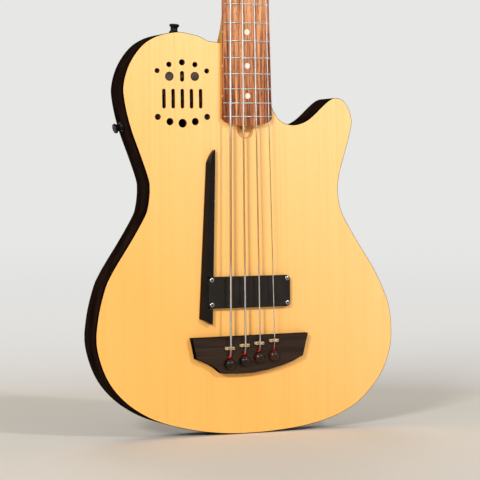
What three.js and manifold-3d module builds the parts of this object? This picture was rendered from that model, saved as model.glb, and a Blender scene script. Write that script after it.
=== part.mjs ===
import * as THREE from "three";
import { mergeVertices } from "three/addons/utils/BufferGeometryUtils.js";
import Module from "manifold-3d";

const wasm = await Module();
wasm.setup();

// Four-string acoustic bass guitar with a thin chambered body, in millimetres.
// The front of the soundboard is the plane y = 0 and faces -Y, +Z runs up the neck towards the head,
// and z = 0 is the line one scale length below the nut. The bass side is -X.

// Gaps between pieces
const gap = 0.3; // between faces that rest on each other
const runGap = 0.4; // around what turns or slides
const overrun = 2; // how far a cutter passes the wood it cuts

// Body
const bodyWidth = 347.4;
const bodyLength = 432.8;
const tailToBridgeShare = 0.2315; // of the body's length
const bodyDepth = 46;
const soundboardThickness = 4.5;
const backRoundOver = 9;
const bindingWidth = 1.4;
const rimWall = 13;
const backFloor = 6;
const centreBlockWidth = 76;

// Scale, neck and fingerboard
const scaleLength = 863.6;
const fretCount = 22;
const semitones = 12;
const nutWidth = 37;
const boardEndWidth = 57.8;
const boardEndZ = 232;
const boardCornerZ = 240.5;
const boardHeight = 7.6; // fingerboard surface above the soundboard, on the centreline
const boardThickness = 4.7; // on the centreline
const boardRadius = 355;
const fretWidth = 2.6;
const fretCrown = 1.15;
const fretTang = 1;
const fretEndInset = 0.5;
const neckDepthAtNut = 13;
const neckDepthAtHeel = 14.4; // below the soundboard's face, where the played part starts too
const heelEndZ = 237;
const heelDrop = 9.2; // from the top of the body down to the heel's shoulder
const heelFadeLength = 27; // from the square heel to the round back of the played neck
const nutThickness = 5;
const nutShoulder = 1.2; // nut wood left standing beside the string grooves

// Headstock
const headTilt = THREE.MathUtils.degToRad(10);
const headLength = 172;
const headWidth = 79;
const headThickness = 14.5;
const voluteLength = 26;

// Strings, bass side first
const stringNames = ["e", "a", "d", "g"];
const stringRadii = [1.27, 1.02, 0.83, 0.57];
const stringPitchAtNut = 9.4;
const stringPitchAtBridge = 17.2;
const stringClearanceAtNut = 0.35; // under the string, above the fret tops
const saddleHeight = 12.8; // underside of the strings above the soundboard
const saddleSetback = [6.5, 3.9, 2.2, -0.1]; // saddle below the z = 0 line
const windingTurns = 2.25;
const windingGap = 0.5;
const ballRadius = 2.6;
const ballLength = 5;
const ballDepth = 10;

// Bridge, saddles and pins
const bridgeWidth = 135.8;
const bridgeTopZ = 5.6;
const bridgeLength = 40.2;
const bridgeHeight = 9;
const bridgeChamfer = 1.1;
const saddleWidth = 9.6;
const saddleLength = 3;
const saddleSeatDepth = 2.5;
const saddleCheekRise = 1.5;
const saddleGrooveFlare = 1.3;
const pinSetback = [23.3, 20.4, 17.7, 16.2];
const pinHeadRadius = 5.8;
const pinHeadHeight = 6.8;
const pinShaftRadius = 2.5;
const pinTipRadius = 2.1;
const pinTipDepth = 4;
const pinCollar = 1.5;
const stringRise = 2.6; // of a string beside its pin, above the bridge
const stringWellRadius = 4.2;
const stringWellTop = 6.5;
const stringWellDepth = 14;

// Pickup and thumb rest
const pickupWidth = 96.7;
const pickupLength = 34;
const pickupCentreZ = 53.4;
const pickupHeight = 6.4;
const pickupCorner = 4;
const pickupEdge = 0.8;
const coilWidth = 82;
const coilLength = 26;
const coilDepth = 14;
const thumbRestHeight = 7;
const thumbRestBottomZ = 19;
const thumbRestTipZ = 207.5;
const thumbRestFootX = -56.9;
const thumbRestEdgeX = -43.4;
const thumbRestTipX = -37.8;
const thumbRestBevel = 2.8;
const thumbRestRamp = 15;
const thumbRestTipFall = 16;
const thumbRestTipWidth = 9.2;
const thumbRestFootRise = 6.6;

// Sound holes and the controls under them
const rosetteX = -72.5;
const rosetteDrop = 71; // below the top of the body
const upperArc = {
  radius: 49.3,
  height: 38.7,
  step: THREE.MathUtils.degToRad(17.6),
  diameters: [6.7, 5.9, 5.6], // the middle hole, then outwards
};
const lowerArc = {
  radius: 62.3,
  height: -26.2,
  step: THREE.MathUtils.degToRad(13.5),
  diameters: [9.4, 7.9, 6.7],
};
const sliderCount = 5;
const sliderPitch = 10.5;
const sliderSlotWidth = 4;
const sliderSlotLength = 21.1;
const sliderTabWidth = 2.7;
const sliderTabLength = 5.2;
const sliderTabTop = 0.5;
const sliderStemWidth = 1.7;
const tabCorner = 0.55;
const tabEdge = 0.45;
const sliderRest = [7.1, 0.6, 0.9, -1.3, -1.3]; // where each slider stands from its slot's middle
const buttonSpread = 14.6;
const buttonRowZ = 23.8;
const buttonHoleRadius = 4.85;
const buttonThickness = 3;
const buttonTop = 0.1;
const buttonStemRadius = 2;
const buttonTravel = 1.2;
const switchSlotWidth = 4.6;
const switchSlotLength = 11.4;
const switchTabWidth = 3;
const switchTabLength = 4.2;
const preampWidth = 62;
const preampLength = 44.5;
const preampDepth = 15;
const preampRise = 7; // its middle above the sliders' middle
const preampWellDepth = 8;

// Strap buttons
const strapButtonRadius = 5.4;
const strapButtonWaist = 3.9;
const strapButtonHeight = 10;
const strapButtonBand = 3;
const strapButtonTopX = -72.5;
const strapButtonSideDrop = 99.8; // below the top of the body
const strapScrewRadius = 1.9;
const strapScrewLength = 11;

// Output jack in the treble rim
const jackZ = 4;
const jackRadius = 5.6;
const jackBoreRadius = 3.3;
const jackBoreDepth = 24;
const jackFloor = 4;
const jackFlangeRadius = 8.4;
const jackFlange = 2.2;

// Battery box in the back
const batteryWidth = 26.2;
const batteryLength = 48.5;
const batteryDepth = 17.2;
const batteryCorner = 2.2;
const batteryX = -92;
const batteryZ = 62;
const boxWall = 1.8;
const boxLip = 5;
const boxLipThickness = 3.4;
const doorThickness = 2.2;
const doorPinRadius = 0.9;
const doorPinLength = 2.2;
const terminalRadius = 3;
const terminalHeight = 1.6;

// Neck bolts and truss rod
const boltX = 17;
const boltRowShares = [0.22, 0.717]; // of the heel, from its foot
const boltRadius = 2.4;
const boltHeadRadius = 4.8;
const boltHeadHeight = 2.8;
const boltSink = 0.4;
const boltReach = 10;
const trussWidth = 6;
const trussDepth = 9;
const trussTopInset = 24;
const trussNutRadius = 3.9;
const trussNutLength = 8;
const trussSocketRadius = 2;
const trussSocketDepth = 4;
const scoopRadius = 9.6;
const scoopCentreZ = 228.1;

// Tuning machines, placed in the headstock's own frame
const tunerRowShares = [0.2674, 0.6163]; // of the headstock's length
const tunerSpreadShares = [0.6456, 0.5696]; // of half its width
const postRadius = 4.6;
const postHeadRadius = 6.3;
const postHeight = 17;
const postSlotWidth = 2.8;
const postSlotDepth = 5;
const postWaistTop = 13;
const bushingRadius = 7.6;
const bushingSleeveRadius = 6.6;
const bushingHeight = 2.2;
const bushingSleeve = 8;
const gearboxWidth = 21;
const gearboxLength = 25;
const gearboxHeight = 11;
const gearboxCorner = 3;
const gearboxPlate = 1.5;
const gearboxPlateReach = 4;
const postFoot = 3;
const keyShaftRadius = 2.4;
const keyShaftInset = 6;
const keyOffset = 8.5; // worm shaft below the post, along the headstock
const keyReach = 13;
const keyCollar = 1.4;
const keyWidth = 25;
const keyLength = 21;
const keyThickness = 6;

// Outlines, as shares of half the width and of the length of the piece
const bodyOutlineShares = [
  [-0.03, 0], [0.29, 0.006], [0.52, 0.022], [0.698, 0.049], [0.815, 0.083], [0.928, 0.137],
  [0.988, 0.197], [1, 0.243], [0.987, 0.301], [0.944, 0.352], [0.862, 0.415],
  [0.669, 0.539], [0.631, 0.601], [0.653, 0.661], [0.733, 0.772], [0.717, 0.809],
  [0.674, 0.833], [0.614, 0.839], [0.561, 0.828], [0.501, 0.807], [0.427, 0.783], [0.335, 0.771],
  [0.245, 0.78], [0.19, 0.809], [0.163, 0.845], [0.14, 0.936], [0.069, 0.964],
  [-0.23, 0.978], [-0.295, 0.989], [-0.362, 0.996], [-0.438, 1],
  [-0.518, 0.996], [-0.593, 0.987], [-0.668, 0.969], [-0.737, 0.937], [-0.783, 0.9], [-0.804, 0.851],
  [-0.751, 0.754], [-0.648, 0.638], [-0.645, 0.594], [-0.674, 0.548],
  [-0.856, 0.433], [-0.936, 0.375], [-0.999, 0.259], [-0.98, 0.2],
  [-0.917, 0.14], [-0.806, 0.089], [-0.645, 0.048], [-0.46, 0.023], [-0.26, 0.007],
];
const bridgeTopShares = [[-0.931, -0.565], [-1, 0], [1, 0.03], [0.908, -0.58]];
const bridgeBellyShares = [
  [0.7, -0.74], [0.487, -0.845], [0.182, -0.965], [-0.123, -1], [-0.454, -0.985], [-0.515, -0.962],
];
const bridgeTailShares = [[-0.58, -0.875], [-0.648, -0.778], [-0.79, -0.655], [-0.931, -0.565]];
const thumbRestTipCurveShares = [0.25, 0.55]; // handle of the tip's curve, of its width and fall
const boardEndCurveShares = [[0.93, 0.1], [0.45, 0]]; // handles of the end's curve, of its half width
const voluteDepthShare = 0.62; // of the headstock's thickness, where the volute starts
const voluteFadeShare = 0.3; // of that thickness, lost by its end
const voluteTaperShare = 0.35; // of the neck's width, lost by its end
const fretProfileShares = [
  [-0.5, -1], [-0.5, 0.15], [-0.22, 1], [0.22, 1], [0.5, 0.15], [0.5, -1],
]; // along, of its width, and up from the board, of its crown or down of its tang
const keyWaistShare = 0.16; // of the key's width, where the paddle meets its shaft
const keyOutlineShares = [
  [[0.2, keyWaistShare], [0.1, 0.5], [0.5, 0.5]],
  [[0.9, 0.5], [1, 0.3], [1, 0]],
  [[1, -0.3], [0.9, -0.5], [0.5, -0.5]],
  [[0.1, -0.5], [0.2, -keyWaistShare], [0, -keyWaistShare]],
]; // two handles and an end for each curve, of the key's length and width
const headOutlineShares = [
  [0.47, -0.03], [0.53, 0.05], [0.72, 0.12], [0.93, 0.18], [1, 0.25], [0.985, 0.36], [0.94, 0.52],
  [0.895, 0.68], [0.88, 0.82], [0.85, 0.91], [0.7, 0.955], [0.45, 0.975], [0.2, 0.99], [0, 1],
];
const outlineSteps = 2; // straight steps between two outline points
const roundSegments = 18;
const smallSegments = 14;
const fineSegments = 12;
const cornerSegments = 2;
const roundOverSegments = 3;
const boardSegments = 6;
const longCurve = { curveSegments: 8 };
const plainCurve = { curveSegments: 1 };
const keyCurveSegments = 4;
const hexSides = 6;
const fretSegments = 3;
const neckSectionSteps = 12;
const roundedness = 1.75; // superellipse power of the played neck's back
const squareness = 12; // and of the heel block
const windingSides = 6;
const windingSteps = 16;

const halfBody = bodyWidth / 2;
const bodyBottomZ = -tailToBridgeShare * bodyLength;
const bodyTopZ = bodyBottomZ + bodyLength;
const blockHalf = centreBlockWidth / 2;
const nutZ = scaleLength;
const heelTopZ = bodyTopZ - heelDrop;
const neckFaceY = boardThickness - boardHeight; // the flat that the fingerboard is glued to
const pocketFloorY = neckDepthAtHeel;
const boltRows = boltRowShares.map((share) => heelEndZ + share * (heelTopZ - heelEndZ));
const rosetteZ = bodyTopZ - rosetteDrop;

// Materials
function finish(color, roughness, metalness = 0) {
  return new THREE.MeshStandardMaterial({ color, roughness, metalness });
}
const materials = {
  spruce: finish(0xf3c983, 0.35),
  darkWood: finish(0x2b201d, 0.45),
  maple: finish(0xc98a4a, 0.35),
  rosewood: finish(0x8a5534, 0.55),
  ebony: finish(0x2a211e, 0.5),
  bone: finish(0xe9ddc0, 0.4),
  blackGloss: finish(0x141313, 0.2),
  blackSatin: finish(0x1f1e1e, 0.5),
  greyPlastic: finish(0x55544f, 0.55),
  chrome: finish(0xc9cbd0, 0.18, 1),
  steel: finish(0x9a9890, 0.35, 1),
  brass: finish(0xb08a45, 0.3, 1),
};

// Solids and how they are joined
function solidOf(geometry) {
  const bare = new THREE.BufferGeometry();
  bare.setAttribute("position", geometry.getAttribute("position"));
  if (geometry.index) bare.setIndex(geometry.index);
  const merged = mergeVertices(bare);
  const index = merged.index.array;
  const faces = [];
  for (let i = 0; i < index.length; i += 3) {
    const [a, b, c] = [index[i], index[i + 1], index[i + 2]];
    if (a !== b && b !== c && c !== a) faces.push(a, b, c);
  }
  const build = (triVerts) =>
    new wasm.Manifold(
      new wasm.Mesh({
        numProp: 3,
        vertProperties: new Float32Array(merged.attributes.position.array),
        triVerts: new Uint32Array(triVerts),
      }),
    );
  const solid = build(faces);
  return solid.volume() > 0 ? solid : build(faces.reverse());
}

function joined(...solids) {
  return solids.reduce((all, next) => all.add(next));
}

function cut(solid, ...cutters) {
  return cutters.reduce((left, cutter) => left.subtract(cutter), solid);
}

function geometryOf(solid) {
  const mesh = solid.getMesh();
  const geometry = new THREE.BufferGeometry();
  geometry.setAttribute("position", new THREE.BufferAttribute(new Float32Array(mesh.vertProperties), 3));
  geometry.setIndex(new THREE.BufferAttribute(new Uint32Array(mesh.triVerts), 1));
  geometry.computeVertexNormals();
  return geometry;
}

const guitar = new THREE.Group();
const head = new THREE.Group();
head.position.set(0, 0, nutZ + nutThickness);
head.rotation.x = -headTilt;
guitar.add(head);
head.updateMatrix();

function addPiece(name, solid, material, group = guitar) {
  const mesh = new THREE.Mesh(geometryOf(solid), material);
  mesh.name = name;
  group.add(mesh);
  return mesh;
}

// A flat shape drawn in x and z, made solid between two depths.
function plate(shape, frontY, backY, options = {}) {
  const depth = backY - frontY;
  const settings = { depth, bevelEnabled: false, curveSegments: cornerSegments, ...options };
  const geometry = new THREE.ExtrudeGeometry(shape, settings);
  return solidOf(geometry.rotateX(Math.PI / 2).translate(0, backY, 0));
}

// A plate whose front edge is rounded or chamfered all round.
function easedPlate(shape, frontY, backY, edge, segments = 1, curveSegments = cornerSegments) {
  const eased = plate(shape, frontY + edge, backY + edge, {
    curveSegments,
    bevelEnabled: true,
    bevelThickness: edge,
    bevelSize: edge,
    bevelOffset: -edge,
    bevelSegments: segments,
  });
  const { min, max } = eased.boundingBox();
  const spare = box(min[0], max[0], backY, max[1] + overrun, min[2], max[2], overrun);
  return cut(eased, spare);
}

function box(x0, x1, y0, y1, z0, z1, spread = 0) {
  const size = [x1 - x0 + 2 * spread, y1 - y0, z1 - z0 + 2 * spread];
  return solidOf(new THREE.BoxGeometry(...size).translate((x0 + x1) / 2, (y0 + y1) / 2, (z0 + z1) / 2));
}

// A round bar along Y, from front to back.
function rodY(radius, x, frontY, backY, z, segments = roundSegments) {
  const geometry = new THREE.CylinderGeometry(radius, radius, backY - frontY, segments);
  return solidOf(geometry.translate(x, (frontY + backY) / 2, z));
}

function rodX(radius, x0, x1, y, z, segments = roundSegments) {
  const geometry = new THREE.CylinderGeometry(radius, radius, x1 - x0, segments);
  return solidOf(geometry.rotateZ(Math.PI / 2).translate((x0 + x1) / 2, y, z));
}

function rodZ(radius, x, y, z0, z1, segments = roundSegments) {
  const geometry = new THREE.CylinderGeometry(radius, radius, z1 - z0, segments);
  return solidOf(geometry.rotateX(Math.PI / 2).translate(x, y, (z0 + z1) / 2));
}

// A profile of [radius, height] pairs turned round the Y axis.
function turned(profile, segments = smallSegments) {
  const points = profile.map(([radius, height]) => new THREE.Vector2(radius, height));
  return solidOf(new THREE.LatheGeometry(points, segments));
}

// A solid through rings of points, closed at both ends.
function loft(rings) {
  const count = rings[0].length;
  const positions = rings.flatMap((ring) => ring.flatMap((p) => [p.x, p.y, p.z]));
  const index = [];
  for (let r = 0; r + 1 < rings.length; r++)
    for (let i = 0; i < count; i++) {
      const a = r * count + i;
      const b = r * count + ((i + 1) % count);
      index.push(a, b, b + count, a, b + count, a + count);
    }
  const flat = (ring) => {
    const u = ring[1].clone().sub(ring[0]).normalize();
    const w = new THREE.Vector3();
    for (let i = 1; i + 1 < count; i++)
      w.add(ring[i].clone().sub(ring[0]).cross(ring[i + 1].clone().sub(ring[0])));
    const v = w.normalize().cross(u);
    return ring.map((p) => new THREE.Vector2(p.clone().sub(ring[0]).dot(u), p.clone().sub(ring[0]).dot(v)));
  };
  const last = (rings.length - 1) * count;
  for (const [a, b, c] of THREE.ShapeUtils.triangulateShape(flat(rings[0]), [])) index.push(a, c, b);
  for (const [a, b, c] of THREE.ShapeUtils.triangulateShape(flat(rings.at(-1)), []))
    index.push(last + a, last + b, last + c);
  const geometry = new THREE.BufferGeometry();
  geometry.setAttribute("position", new THREE.BufferAttribute(new Float32Array(positions), 3));
  return solidOf(geometry.setIndex(index));
}

function circlePoints(x, z, radius, segments) {
  const turns = Array.from({ length: segments }, (_, i) => (2 * Math.PI * i) / segments);
  return turns.map((turn) => new THREE.Vector2(x + radius * Math.cos(turn), z + radius * Math.sin(turn)));
}

function slotShape(x, z, width, length) {
  const reach = (length - width) / 2;
  return new THREE.Shape()
    .absarc(x, z + reach, width / 2, 0, Math.PI)
    .absarc(x, z - reach, width / 2, Math.PI, 2 * Math.PI)
    .closePath();
}

function roundedShape(x0, x1, z0, z1, radius) {
  return new THREE.Shape()
    .absarc(x1 - radius, z1 - radius, radius, 0, Math.PI / 2)
    .absarc(x0 + radius, z1 - radius, radius, Math.PI / 2, Math.PI)
    .absarc(x0 + radius, z0 + radius, radius, Math.PI, 1.5 * Math.PI)
    .absarc(x1 - radius, z0 + radius, radius, 1.5 * Math.PI, 2 * Math.PI)
    .closePath();
}

// Body outline
function smoothOutline(shares, halfWidth, length, baseZ) {
  const points = shares.map(([x, z]) => new THREE.Vector3(x * halfWidth, 0, baseZ + z * length));
  const curve = new THREE.CatmullRomCurve3(points, true, "centripetal");
  const steps = curve.getPoints(points.length * outlineSteps).slice(0, -1);
  return steps.map((p) => new THREE.Vector2(p.x, p.z));
}

function edgeNormal(outline, i) {
  const before = outline[(i + outline.length - 1) % outline.length];
  const after = outline[(i + 1) % outline.length];
  const along = after.clone().sub(before).normalize();
  return new THREE.Vector2(along.y, -along.x);
}

function insetOutline(outline, distance) {
  const area = new wasm.CrossSection([outline.map((p) => [p.x, p.y])]);
  const loops = area.offset(-distance, "Miter").toPolygons();
  const [longest] = loops.sort((one, other) => other.length - one.length);
  return longest.map(([x, y]) => new THREE.Vector2(x, y));
}

const bodyOutline = smoothOutline(bodyOutlineShares, halfBody, bodyLength, bodyBottomZ);

// Where the outline crosses a level on the wanted side, and its outward direction there.
function onOutline(levelOf, level, wanted) {
  const crossings = bodyOutline.flatMap((p, i) => {
    const q = bodyOutline[(i + 1) % bodyOutline.length];
    const share = (level - levelOf(p)) / (levelOf(q) - levelOf(p));
    if (share < 0 || share >= 1 || !wanted(p)) return [];
    const along = q.clone().sub(p).normalize();
    return [{ point: p.clone().lerp(q, share), outward: new THREE.Vector2(along.y, -along.x) }];
  });
  return crossings[0];
}

// Places that several pieces share
function boardHalfWidth(z) {
  const share = (nutZ - z) / (nutZ - boardEndZ);
  return (nutWidth + (boardEndWidth - nutWidth) * share) / 2;
}

function boardSurfaceY(x) {
  return -boardHeight + boardRadius - Math.sqrt(boardRadius * boardRadius - x * x);
}

const fretTopY = -(boardHeight + fretCrown);
const middleString = (stringNames.length - 1) / 2;
const strings = stringNames.map((name, i) => {
  const across = i - middleString;
  const radius = stringRadii[i];
  const nutX = across * stringPitchAtNut;
  const bridgeX = across * stringPitchAtBridge;
  const nutY = boardSurfaceY(nutX) - fretCrown - stringClearanceAtNut - radius;
  return {
    name,
    radius,
    nutX,
    nutY,
    bridgeX,
    saddleY: -saddleHeight - radius,
    saddleZ: -saddleSetback[i],
    pinZ: -pinSetback[i],
    wellZ: -pinSetback[i] + pinShaftRadius + runGap + radius,
    slotY: -bridgeHeight + 2 * gap,
    slotZ: -pinSetback[i] + pinHeadRadius + gap + radius,
    restY: -bridgeHeight - stringRise,
  };
});

function slotEnd(s) {
  return s.slotZ + s.radius + 2 * runGap;
}

const tuners = stringNames.map((name, i) => {
  const side = Math.sign(i - middleString);
  const row = Math.abs(i - middleString) > 1 ? 0 : 1;
  const x = (side * tunerSpreadShares[row] * headWidth) / 2;
  return { name, side, x, z: tunerRowShares[row] * headLength };
});

// Cutters used on more than one piece
const throughFront = -overrun;

function neckPocket(frontY, backY) {
  const foot = heelEndZ - gap;
  const top = heelTopZ + overrun;
  const shape = new THREE.Shape([
    new THREE.Vector2(-boardHalfWidth(foot) - gap, foot),
    new THREE.Vector2(boardHalfWidth(foot) + gap, foot),
    new THREE.Vector2(boardHalfWidth(top) + gap, top),
    new THREE.Vector2(-boardHalfWidth(top) - gap, top),
  ]);
  return plate(shape, frontY, backY);
}

function scoopCutter() {
  const ball = new THREE.SphereGeometry(scoopRadius, roundSegments, fineSegments);
  const end = solidOf(ball.translate(0, 0, scoopCentreZ));
  return joined(end, rodZ(scoopRadius, 0, 0, scoopCentreZ, heelEndZ + gap));
}

function coilPocket(backY) {
  const halfWidth = coilWidth / 2 + gap;
  const halfLength = coilLength / 2 + gap;
  const z = pickupCentreZ;
  return box(-halfWidth, halfWidth, throughFront, backY, z - halfLength, z + halfLength);
}

function pinBores(frontY, backY) {
  return strings.map((s) => rodY(pinShaftRadius + runGap, s.bridgeX, frontY, backY, s.pinZ, fineSegments));
}

function stringSlots(frontY, backY) {
  return strings.map((s) => {
    const half = s.radius + runGap;
    return box(s.bridgeX - half, s.bridgeX + half, frontY, backY, s.pinZ, slotEnd(s));
  });
}

const preampFrontY = soundboardThickness + gap;

function preampShape(spread) {
  const halfWidth = preampWidth / 2 + spread;
  const halfLength = preampLength / 2 + spread;
  const z = rosetteZ + preampRise;
  return roundedShape(
    rosetteX - halfWidth,
    rosetteX + halfWidth,
    z - halfLength,
    z + halfLength,
    pickupCorner,
  );
}

function preampPocket() {
  return plate(preampShape(gap), throughFront, preampFrontY + preampDepth + gap);
}

function soundHoleShapes() {
  const holes = [];
  for (const arc of [upperArc, lowerArc]) {
    const outermost = arc.diameters.length - 1;
    for (let n = -outermost; n <= outermost; n++) {
      const turn = n * arc.step;
      const bulge = Math.sign(arc.height) * arc.radius * (1 - Math.cos(turn));
      const x = rosetteX + arc.radius * Math.sin(turn);
      const z = rosetteZ + arc.height - bulge;
      holes.push(new THREE.Path(circlePoints(x, z, arc.diameters[Math.abs(n)] / 2, fineSegments)));
    }
  }
  return holes;
}

const buttonZ = rosetteZ + buttonRowZ;

function sliderX(n) {
  return rosetteX + (n - (sliderCount - 1) / 2) * sliderPitch;
}

// Soundboard, binding and body shell
function makeSoundboard() {
  const shape = new THREE.Shape(insetOutline(bodyOutline, bindingWidth + gap));
  shape.holes.push(...soundHoleShapes());
  for (let n = 0; n < sliderCount; n++)
    shape.holes.push(slotShape(sliderX(n), rosetteZ, sliderSlotWidth, sliderSlotLength));
  for (const side of [-1, 1]) {
    const x = rosetteX + side * buttonSpread;
    shape.holes.push(new THREE.Path(circlePoints(x, buttonZ, buttonHoleRadius, roundSegments)));
  }
  shape.holes.push(slotShape(rosetteX, buttonZ, switchSlotWidth, switchSlotLength));
  const board = plate(shape, 0, soundboardThickness);
  const backY = soundboardThickness + overrun;
  return cut(
    board,
    neckPocket(throughFront, backY),
    scoopCutter(),
    coilPocket(backY),
    ...pinBores(throughFront, backY),
    ...stringSlots(throughFront, backY),
  );
}

function makeBinding() {
  const shape = new THREE.Shape(bodyOutline);
  shape.holes.push(new THREE.Path(insetOutline(bodyOutline, bindingWidth)));
  const band = plate(shape, 0, soundboardThickness);
  return cut(band, neckPocket(throughFront, soundboardThickness + overrun));
}

const jackY = bodyDepth / 2;
const jackSeat = onOutline((p) => p.y, jackZ, (p) => p.x > 0);
const boxOuterWidth = batteryWidth + 2 * (gap + boxWall);
const boxOuterLength = batteryLength + 2 * (gap + boxWall) + terminalHeight;
const boxBackY = bodyDepth;
const boxFrontY = boxBackY - boxLipThickness - batteryDepth - boxWall - gap;

function makeBodyShell() {
  const frontY = soundboardThickness + gap;
  const chamberBack = bodyDepth - backFloor;
  const blank = plate(new THREE.Shape(bodyOutline), -bodyDepth, bodyDepth - backRoundOver, {
    bevelEnabled: true,
    bevelThickness: backRoundOver,
    bevelSize: backRoundOver,
    bevelOffset: -backRoundOver,
    bevelSegments: roundOverSegments,
  });
  const front = box(-halfBody, halfBody, -2 * bodyDepth, frontY, bodyBottomZ, bodyTopZ, bodyWidth);
  const rounded = cut(blank, front);
  const hollow = plate(new THREE.Shape(insetOutline(bodyOutline, rimWall)), 0, chamberBack);
  const block = box(-blockHalf, blockHalf, throughFront, bodyDepth, bodyBottomZ, bodyTopZ);
  const { x: rimX, y: rimZ } = jackSeat.point;
  const jackHole = rodX(jackRadius + gap, rimX - rimWall - overrun, rimX + overrun, jackY, rimZ);
  const strapHoles = strapButtonSeats.map(({ screw }) => screw);
  const boxHalfWidth = boxOuterWidth / 2 + gap;
  const boxHalfLength = boxOuterLength / 2 + gap;
  const batteryHole = box(
    batteryX - boxHalfWidth,
    batteryX + boxHalfWidth,
    boxFrontY,
    bodyDepth + overrun,
    batteryZ - boxHalfLength,
    batteryZ + boxHalfLength,
  );
  const lipHalfWidth = boxHalfWidth + boxLip;
  const lipHalfLength = boxHalfLength + boxLip;
  const lipRecess = box(
    batteryX - lipHalfWidth,
    batteryX + lipHalfWidth,
    boxBackY - boxLipThickness - gap,
    bodyDepth + overrun,
    batteryZ - lipHalfLength,
    batteryZ + lipHalfLength,
  );
  const wells = strings.map((s) =>
    rodY(stringWellRadius, s.bridgeX, stringWellTop, stringWellDepth, s.wellZ),
  );
  return cut(
    rounded,
    cut(hollow, block),
    neckPocket(throughFront, pocketFloorY + gap),
    scoopCutter(),
    coilPocket(coilDepth + overrun),
    preampPocket(),
    ...pinBores(throughFront, stringWellTop + overrun),
    ...stringSlots(throughFront, stringWellTop + overrun),
    ...wells,
    ...boltCutters(),
    jackHole,
    batteryHole,
    lipRecess,
    ...strapHoles,
  );
}

// Strap buttons on the upper bass rim
function placedAlong(seat, depth, solid) {
  const outward = new THREE.Vector3(seat.outward.x, 0, seat.outward.y);
  const turn = new THREE.Quaternion().setFromUnitVectors(new THREE.Vector3(0, 1, 0), outward);
  const origin = new THREE.Vector3(seat.point.x, depth, seat.point.y);
  const matrix = new THREE.Matrix4().compose(origin, turn, new THREE.Vector3(1, 1, 1));
  return solid.transform(matrix.toArray());
}

const topRim = onOutline((p) => p.x, strapButtonTopX, (p) => p.y > rosetteZ);
const bassRim = onOutline((p) => p.y, bodyTopZ - strapButtonSideDrop, (p) => p.x < 0);
const strapButtonSeats = [
  { name: "strap_button_top", seat: topRim },
  { name: "strap_button_side", seat: bassRim },
].map((entry) => {
  const bore = new THREE.CylinderGeometry(
    strapScrewRadius + gap,
    strapScrewRadius + gap,
    strapScrewLength + gap + overrun,
    fineSegments,
  ).translate(0, (overrun - strapScrewLength - gap) / 2, 0);
  return { ...entry, screw: placedAlong(entry.seat, bodyDepth / 2, solidOf(bore)) };
});

function strapButton() {
  const top = gap + strapButtonHeight;
  const edge = strapButtonBand / 4;
  const profile = [
    [0, -strapScrewLength],
    [strapScrewRadius, -strapScrewLength + strapScrewRadius],
    [strapScrewRadius, gap],
    [strapButtonRadius - edge, gap],
    [strapButtonRadius, gap + edge],
    [strapButtonRadius, gap + strapButtonBand - 2 * edge],
    [strapButtonWaist, gap + strapButtonBand],
    [strapButtonWaist, top - strapButtonBand - edge],
    [strapButtonRadius - edge, top - strapButtonBand],
    [strapButtonRadius, top - strapButtonBand + edge],
    [strapButtonRadius, top - edge],
    [strapButtonRadius - edge, top],
    [strapScrewRadius, top],
    [0, top - edge],
  ];
  return turned(profile);
}

// Bridge with slotted pin holes, single saddles and pins
function makeBridge() {
  const [straight, belly, tail] = [bridgeTopShares, bridgeBellyShares, bridgeTailShares].map((shares) =>
    shares.map(([x, z]) => new THREE.Vector2((x * bridgeWidth) / 2, bridgeTopZ + z * bridgeLength)),
  );
  const shape = new THREE.Shape(straight).splineThru(belly).splineThru(tail);
  const blank = easedPlate(shape, -bridgeHeight, -gap, bridgeChamfer, 2, plainCurve.curveSegments);
  const front = -bridgeHeight - overrun;
  const seatFloor = -bridgeHeight + saddleSeatDepth;
  const seats = strings.map((s) => {
    const halfWidth = saddleWidth / 2 + gap;
    const halfLength = saddleLength / 2 + gap;
    const { bridgeX: x, saddleZ: z } = s;
    return box(x - halfWidth, x + halfWidth, front, seatFloor, z - halfLength, z + halfLength);
  });
  return cut(blank, ...seats, ...pinBores(front, overrun), ...stringSlots(front, overrun));
}

function makeSaddle(s) {
  const half = saddleWidth / 2;
  const floor = -bridgeHeight + saddleSeatDepth - gap;
  const top = -saddleHeight - saddleCheekRise;
  const groove = s.radius + gap;
  const corner = saddleCheekRise / 2;
  const bottom = -saddleHeight + gap;
  const points = [
    [-half, floor],
    [-half, top + corner],
    [-half + corner, top],
    [-groove - saddleGrooveFlare, top],
    [-groove, bottom],
    [groove, bottom],
    [groove + saddleGrooveFlare, top],
    [half - corner, top],
    [half, top + corner],
    [half, floor],
  ].map(([x, y]) => new THREE.Vector2(s.bridgeX + x, y));
  const options = { depth: saddleLength, bevelEnabled: false };
  const geometry = new THREE.ExtrudeGeometry(new THREE.Shape(points), options);
  return solidOf(geometry.translate(0, 0, s.saddleZ - saddleLength / 2));
}

function makePin(s) {
  const seat = -bridgeHeight - gap;
  const domeSteps = 4;
  const profile = [
    [0, pinTipDepth],
    [pinTipRadius, pinTipDepth - pinTipRadius / 2],
    [pinShaftRadius, seat + gap],
    [pinShaftRadius, seat],
    [pinHeadRadius - pinCollar / 2, seat],
  ];
  for (let i = 0; i <= domeSteps; i++) {
    const turn = (i / domeSteps) * (Math.PI / 2);
    const rise = pinCollar + (pinHeadHeight - pinCollar) * Math.sin(turn);
    profile.push([pinHeadRadius * Math.cos(turn), seat - rise]);
  }
  profile[profile.length - 1][0] = 0;
  return turned(profile).translate([s.bridgeX, 0, s.pinZ]);
}

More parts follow.
